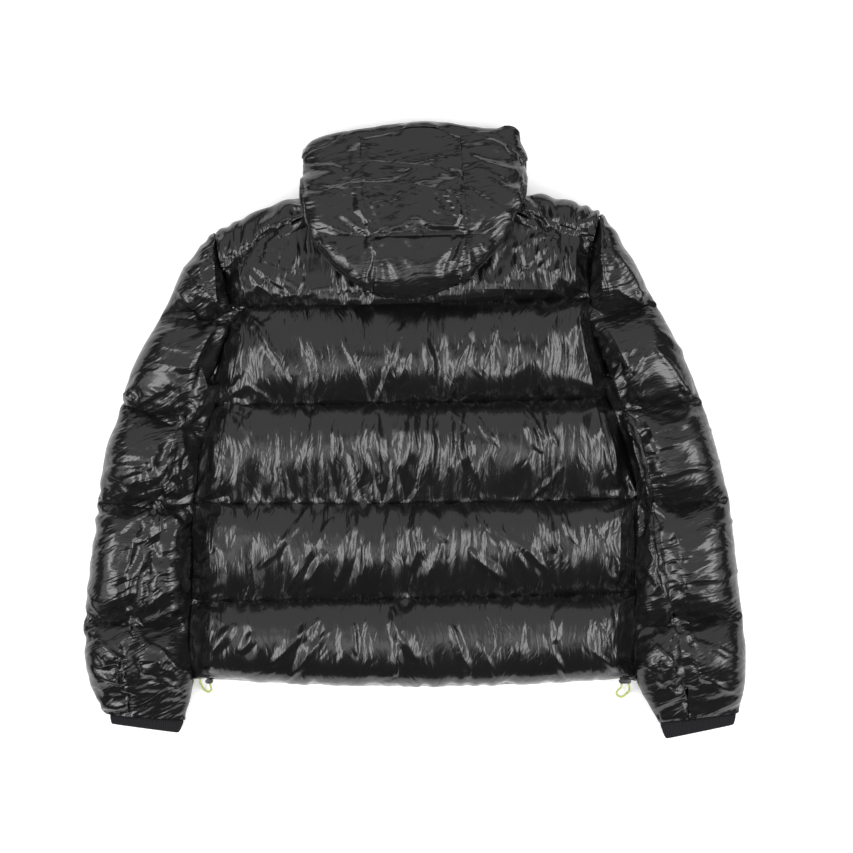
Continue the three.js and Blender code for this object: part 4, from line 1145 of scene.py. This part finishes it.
def make_cord(side, look):
    """One drawcord loop at the hem."""
    line, length = hermite(CORD_ROUTES[side], CORD_POINTS)
    obj = tube(f"drawcord_{side}", line, look.cord_width / 2, CORD_SIDES)
    count = len(obj.data.vertices)
    steps = np.arange(count)
    along = (steps // CORD_SIDES) * (length / (CORD_POINTS - 1))
    around = (steps % CORD_SIDES) * (2 * math.pi / CORD_SIDES)
    add_values(obj.data, "along", along)
    add_values(obj.data, "round_it", around)
    piece_done(obj, [f"cord_{side}"], finish_of("elastic"))


def add_values(mesh, name, values):
    """Stores one number for each point, for the finish to read."""
    mesh.attributes.new(name, "FLOAT", "POINT").data.foreach_set("value", values.astype(np.float32))


def make_cuff(side, look):
    """One rib cuff: its CAD band, creased lengthwise, with the ribs' places stored on it."""
    bm = quads_of(f"cuff_{side}")
    mesh = bpy.data.meshes.new(f"cuff_{side}")
    bm.to_mesh(mesh)
    bm.free()
    mesh = subdivided(mesh, 2)
    outer, inner = (np.array(p) for p in CUFF_ENDS[side])
    direction = (inner - outer) / np.linalg.norm(inner - outer)
    co = coords(mesh)
    across = (co[:, :2] - outer) @ direction
    crease = value_noise(np.stack([across / 0.014, co[:, 1] / 0.06], axis=1), 5)
    co[:, 2] += 0.0012 * crease * np.clip((co[:, 2] - 0.010) / 0.006, 0, 1)
    set_coords(mesh, co)
    add_values(mesh, "across", across)
    obj = link(mesh, f"rib_cuff_{side}")
    piece_done(obj, [f"cuff_{side}"], finish_of("rib"))


def make_moulded(node_name, piece_name, rounding):
    """A moulded piece: its CAD node with softened edges."""
    bm = quads_of(node_name)
    bm.normal_update()
    sharp = [e for e in bm.edges if len(e.link_faces) == 2 and e.calc_face_angle(0) > math.radians(35)]
    bmesh.ops.bevel(
        bm, geom=sharp, offset=rounding, segments=2, profile=0.5, affect="EDGES", clamp_overlap=True)
    mesh = bpy.data.meshes.new(piece_name)
    bm.to_mesh(mesh)
    bm.free()
    piece_done(link(mesh, piece_name), [node_name], finish_of("plastic"))


# Stitches and zip teeth: beads spaced along a line


def bead_tree(name):
    """Geometry nodes that set beads along a line of edges, turned to follow it."""
    tree = bpy.data.node_groups.new(name, "GeometryNodeTree")
    face = tree.interface
    face.new_socket("Line", in_out="INPUT", socket_type="NodeSocketGeometry")
    for size in ("Pitch", "Length", "Width", "Height"):
        face.new_socket(size, in_out="INPUT", socket_type="NodeSocketFloat")
    face.new_socket("Finish", in_out="INPUT", socket_type="NodeSocketMaterial")
    face.new_socket("Beads", in_out="OUTPUT", socket_type="NodeSocketGeometry")
    new, join = tree.nodes.new, tree.links.new
    source, result = new("NodeGroupInput"), new("NodeGroupOutput")
    curve = new("GeometryNodeMeshToCurve")
    places = new("GeometryNodeCurveToPoints")
    places.mode = "LENGTH"
    turn = new("FunctionNodeAlignRotationToVector")
    turn.axis = "X"
    bead = new("GeometryNodeMeshUVSphere")
    bead.inputs["Segments"].default_value = 6
    bead.inputs["Rings"].default_value = 4
    bead.inputs["Radius"].default_value = 0.5
    size = new("ShaderNodeCombineXYZ")
    spread = new("GeometryNodeInstanceOnPoints")
    solid = new("GeometryNodeRealizeInstances")
    finish = new("GeometryNodeSetMaterial")
    join(source.outputs["Line"], curve.inputs[0])
    join(curve.outputs[0], places.inputs["Curve"])
    join(source.outputs["Pitch"], places.inputs["Length"])
    join(places.outputs["Tangent"], turn.inputs["Vector"])
    join(source.outputs["Length"], size.inputs["X"])
    join(source.outputs["Width"], size.inputs["Y"])
    join(source.outputs["Height"], size.inputs["Z"])
    join(places.outputs["Points"], spread.inputs["Points"])
    join(bead.outputs["Mesh"], spread.inputs["Instance"])
    join(turn.outputs["Rotation"], spread.inputs["Rotation"])
    join(size.outputs["Vector"], spread.inputs["Scale"])
    join(spread.outputs[0], solid.inputs[0])
    join(solid.outputs[0], finish.inputs["Geometry"])
    join(source.outputs["Finish"], finish.inputs["Material"])
    join(finish.outputs[0], result.inputs["Beads"])
    return tree


def beads(name, lines, sizes, material):
    """One mesh of beads along several lines of points."""
    mesh = bpy.data.meshes.new(name + "_lines")
    points, edges = [], []
    for line in lines:
        edges += [(len(points) + k, len(points) + k + 1) for k in range(len(line) - 1)]
        points += [tuple(p) for p in line]
    mesh.from_pydata(points, edges, [])
    guide = link(mesh, name + "_lines")
    tree = bead_tree(name)
    mod = guide.modifiers.new("beads", "NODES")
    mod.node_group = tree
    for item in tree.interface.items_tree:
        if item.in_out == "INPUT" and item.name in sizes:
            mod[item.identifier] = sizes[item.name]
        if item.in_out == "INPUT" and item.name == "Finish":
            mod[item.identifier] = material
    depsgraph = bpy.context.evaluated_depsgraph_get()
    result = bpy.data.meshes.new_from_object(guide.evaluated_get(depsgraph))
    guide.modifiers.remove(mod)
    drop(guide)
    return link(result, name)


def cloth_tree():
    """All finished cloth as one tree for ray casts."""
    points, faces = [], []
    for obj in bpy.context.scene.objects:
        if obj.name.endswith("_cloth"):
            start = len(points)
            points += [v.co[:] for v in obj.data.vertices]
            faces += [[start + i for i in p.vertices] for p in obj.data.polygons]
    return BVHTree.FromPolygons(points, faces)


def on_cloth(tree, x, y):
    hit = tree.ray_cast(Vector((x, y, 0.3)), Vector((0, 0, -1)), 0.3)[0]
    return None if hit is None else hit.z


# Stitches: how finely a seam's valley is searched, how high the thread lies over the cloth, and
# how much of the pitch one stitch fills
SEARCH_STEP = 0.001
THREAD_LIFT = 0.0004
STITCH_SHARE = 0.7


def valley(tree, route, search):
    """The lowest line of the cloth near a route, where its seam lies."""
    points, _ = hermite([(x, y, 0.0) for x, y in route], 2 + int(200 * abs(route[-1][0] - route[0][0]) + 8))
    steps = np.arange(-search, search + 1e-6, SEARCH_STEP)
    shifts = []
    for p in points:
        found = [(on_cloth(tree, p[0], p[1] + d), d) for d in steps]
        found = [(z, d) for z, d in found if z is not None]
        shifts.append(min(found)[1] if found else 0.0)
    kernel = np.ones(5) / 5
    shifts = np.convolve(np.pad(shifts, 2, mode="edge"), kernel, mode="valid")
    line = []
    for p, d in zip(points, shifts):
        z = on_cloth(tree, p[0], p[1] + d)
        if z is not None:
            line.append((p[0], p[1] + d, z + THREAD_LIFT))
    return line


def make_stitches(look):
    """Thread along the quilting seams and the short seam at the right hem corner."""
    tree = cloth_tree()
    lines = [valley(tree, route, 0.008) for route in QUILT_ROUTES]
    lines.append(valley(tree, HEM_CORNER_ROUTE, 0.0))
    sizes = {
        "Pitch": look.stitch_pitch,
        "Length": STITCH_SHARE * look.stitch_pitch,
        "Width": look.thread_width,
        "Height": look.thread_width,
    }
    obj = beads("stitches", [line for line in lines if len(line) > 2], sizes, finish_of("thread"))
    smooth_faces(obj.data)
    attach(obj, "root")


def make_zip(look):
    """The zip tape, its two rows of teeth and the slider."""
    bm = quads_of("zip_chain")
    mesh = bpy.data.meshes.new("zip_tape")
    bm.to_mesh(mesh)
    bm.free()
    tape = link(mesh, "zip_tape")
    piece_done(tape, ["zip_chain"], finish_of("tape"))
    low, high = ZIP_ENDS
    shift = look.tooth_pitch / 2
    rows = [
        [(side * TOOTH_OFFSET, low + late, ZIP_FACE), (side * TOOTH_OFFSET, high + late, ZIP_FACE)]
        for side, late in ((-1, 0.0), (1, shift))
    ]
    teeth = beads("zip_teeth", rows, {"Pitch": look.tooth_pitch, **TOOTH}, finish_of("plastic"))
    smooth_faces(teeth.data)
    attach(teeth, "root")
    make_moulded("zip_slider", "zip_slider_body", 0.0008)


# What a user may change


class ClothSettings(bpy.types.PropertyGroup):
    """The glossy padded cloth."""

    colour: FloatVectorProperty(
        name="Cloth colour", description="Colour of the nylon", default=(0.0042, 0.0042, 0.0047),
        subtype="COLOR", size=3, min=0.0, max=1.0)
    blur: FloatProperty(
        name="Gloss blur", description="Roughness of the smoothest nylon", default=0.15, min=0.02, max=1.0)
    wrinkle: FloatProperty(
        name="Wrinkle height", description="Height of the fine wrinkles", default=0.0014,
        unit="LENGTH", min=0.0, max=0.005)
    fill: FloatProperty(
        name="Fill", description="How tightly the down fills the baffles", default=0.7, min=0.0, max=1.0)
    mesh_edge: FloatProperty(
        name="Cloth mesh", description="Mesh size where the cloth shows", default=0.0044,
        unit="LENGTH", min=0.003, max=0.02)
    plain_edge: FloatProperty(
        name="Plain mesh", description="Mesh size of the cloth that lies on the surface", default=0.012,
        unit="LENGTH", min=0.006, max=0.05)


class TrimSettings(bpy.types.PropertyGroup):
    """Cuffs, cords, thread and zip."""

    rib_colour: FloatVectorProperty(
        name="Rib colour", description="Colour of the cuffs", default=(0.016, 0.016, 0.018),
        subtype="COLOR", size=3, min=0.0, max=1.0)
    rib_pitch: FloatProperty(
        name="Rib pitch", description="Width of one rib of the cuffs", default=0.0024,
        unit="LENGTH", min=0.001, max=0.01)
    cord_colour: FloatVectorProperty(
        name="Cord colour", description="Colour of the drawcords", default=(0.60, 0.68, 0.22),
        subtype="COLOR", size=3, min=0.0, max=1.0)
    cord_width: FloatProperty(
        name="Cord width", description="Diameter of the drawcords", default=0.003,
        unit="LENGTH", min=0.0015, max=0.006)
    braid_pitch: FloatProperty(
        name="Braid pitch", description="Length of one turn of the cord's braid", default=0.004,
        unit="LENGTH", min=0.001, max=0.02)
    stitch_pitch: FloatProperty(
        name="Stitch pitch", description="Distance from stitch to stitch", default=0.0034,
        unit="LENGTH", min=0.001, max=0.01)
    thread_width: FloatProperty(
        name="Thread width", description="Thickness of the thread", default=0.0006,
        unit="LENGTH", min=0.0002, max=0.002)
    tooth_pitch: FloatProperty(
        name="Tooth pitch", description="Distance from tooth to tooth on one side", default=0.0024,
        unit="LENGTH", min=0.001, max=0.01)


class StageSettings(bpy.types.PropertyGroup):
    """Floor and light."""

    light: FloatProperty(
        name="Light", description="Share of the softboxes' brightness", default=1.0, min=0.0, max=4.0)
    ambient: FloatProperty(
        name="Ambient", description="Strength of the light from all round", default=0.25, min=0.0, max=2.0)
    floor_glow: FloatProperty(
        name="Floor glow", description="Light that evens out the pale floor", default=0.35, min=0.0, max=2.0)


# One operator for each piece or group of like pieces, and one for the stage


class JACKET_OT_stage(bpy.types.Operator):
    """Make the camera, the floor and the lights"""

    bl_idname = "jacket.stage"
    bl_label = "Stage"

    def execute(self, context):
        make_stage(context.scene.jacket_stage)
        return {"FINISHED"}


class JACKET_OT_cords(bpy.types.Operator):
    """Make the two drawcord loops at the hem and their black ends"""

    bl_idname = "jacket.cords"
    bl_label = "Drawcords"

    def execute(self, context):
        for side in ("left", "right"):
            make_cord(side, context.scene.jacket_trim)
        for side in ("left", "right"):
            make_moulded(f"cord_end_{side}", f"cord_end_{side}_body", 0.0006)
        return {"FINISHED"}


class JACKET_OT_back(bpy.types.Operator):
    """Make the quilted back"""

    bl_idname = "jacket.back"
    bl_label = "Back"

    def execute(self, context):
        make_padded("back", context.scene.jacket_cloth)
        return {"FINISHED"}


class JACKET_OT_shoulders(bpy.types.Operator):
    """Make the two shoulder pieces beside the hood"""

    bl_idname = "jacket.shoulders"
    bl_label = "Shoulders"

    def execute(self, context):
        for side in ("left", "right"):
            make_padded(f"shoulder_{side}", context.scene.jacket_cloth)
        return {"FINISHED"}


class JACKET_OT_sleeves(bpy.types.Operator):
    """Make the top and under sleeves of both arms"""

    bl_idname = "jacket.sleeves"
    bl_label = "Sleeves"

    def execute(self, context):
        for part in ("top", "under"):
            for side in ("left", "right"):
                make_padded(f"sleeve_{part}_{side}", context.scene.jacket_cloth)
        return {"FINISHED"}


class JACKET_OT_hood(bpy.types.Operator):
    """Make the hood's centre, sides, brim and front parts"""

    bl_idname = "jacket.hood"
    bl_label = "Hood"

    def execute(self, context):
        for part in ("centre", "side_left", "side_right", "brim", "chin_left", "chin_right"):
            make_padded(f"hood_{part}", context.scene.jacket_cloth)
        return {"FINISHED"}


class JACKET_OT_fronts(bpy.types.Operator):
    """Make the two fronts that lie on the surface"""

    bl_idname = "jacket.fronts"
    bl_label = "Fronts"

    def execute(self, context):
        for side in ("left", "right"):
            make_padded(f"front_{side}", context.scene.jacket_cloth)
        return {"FINISHED"}


class JACKET_OT_cuffs(bpy.types.Operator):
    """Make the two rib cuffs"""

    bl_idname = "jacket.cuffs"
    bl_label = "Cuffs"

    def execute(self, context):
        for side in ("left", "right"):
            make_cuff(side, context.scene.jacket_trim)
        return {"FINISHED"}


class JACKET_OT_zip(bpy.types.Operator):
    """Make the closed front zip and its slider"""

    bl_idname = "jacket.zip"
    bl_label = "Zip"

    def execute(self, context):
        make_zip(context.scene.jacket_trim)
        return {"FINISHED"}


class JACKET_OT_stitches(bpy.types.Operator):
    """Sew the stitches along the seams of the finished cloth"""

    bl_idname = "jacket.stitches"
    bl_label = "Stitches"

    def execute(self, context):
        make_stitches(context.scene.jacket_trim)
        return {"FINISHED"}


OPERATORS = [
    JACKET_OT_stage,
    JACKET_OT_cords,
    JACKET_OT_back,
    JACKET_OT_shoulders,
    JACKET_OT_sleeves,
    JACKET_OT_hood,
    JACKET_OT_fronts,
    JACKET_OT_cuffs,
    JACKET_OT_zip,
    JACKET_OT_stitches,
]
SETTINGS = {
    "jacket_cloth": ClothSettings,
    "jacket_trim": TrimSettings,
    "jacket_stage": StageSettings,
}


class JACKET_PT_parts(bpy.types.Panel):
    """The jacket's settings and pieces, in the sidebar"""

    bl_idname = "JACKET_PT_parts"
    bl_label = "Puffer jacket"
    bl_space_type = "VIEW_3D"
    bl_region_type = "UI"
    bl_category = "Jacket"

    def draw(self, context):
        for name, group in SETTINGS.items():
            box = self.layout.box()
            for prop in group.__annotations__:
                box.prop(getattr(context.scene, name), prop)
        column = self.layout.column(align=True)
        for operator in OPERATORS:
            column.operator(operator.bl_idname)


def register():
    for cls in [*SETTINGS.values(), *OPERATORS, JACKET_PT_parts]:
        bpy.utils.register_class(cls)
    for name, group in SETTINGS.items():
        setattr(bpy.types.Scene, name, PointerProperty(type=group))


def unregister():
    for name in SETTINGS:
        delattr(bpy.types.Scene, name)
    for cls in [JACKET_PT_parts, *reversed(OPERATORS), *SETTINGS.values()]:
        bpy.utils.unregister_class(cls)


def main():
    """Makes the whole jacket."""
    register()
    for operator in OPERATORS:
        group, name = operator.bl_idname.split(".")
        getattr(getattr(bpy.ops, group), name)()


if __name__ == "__main__":
    main()
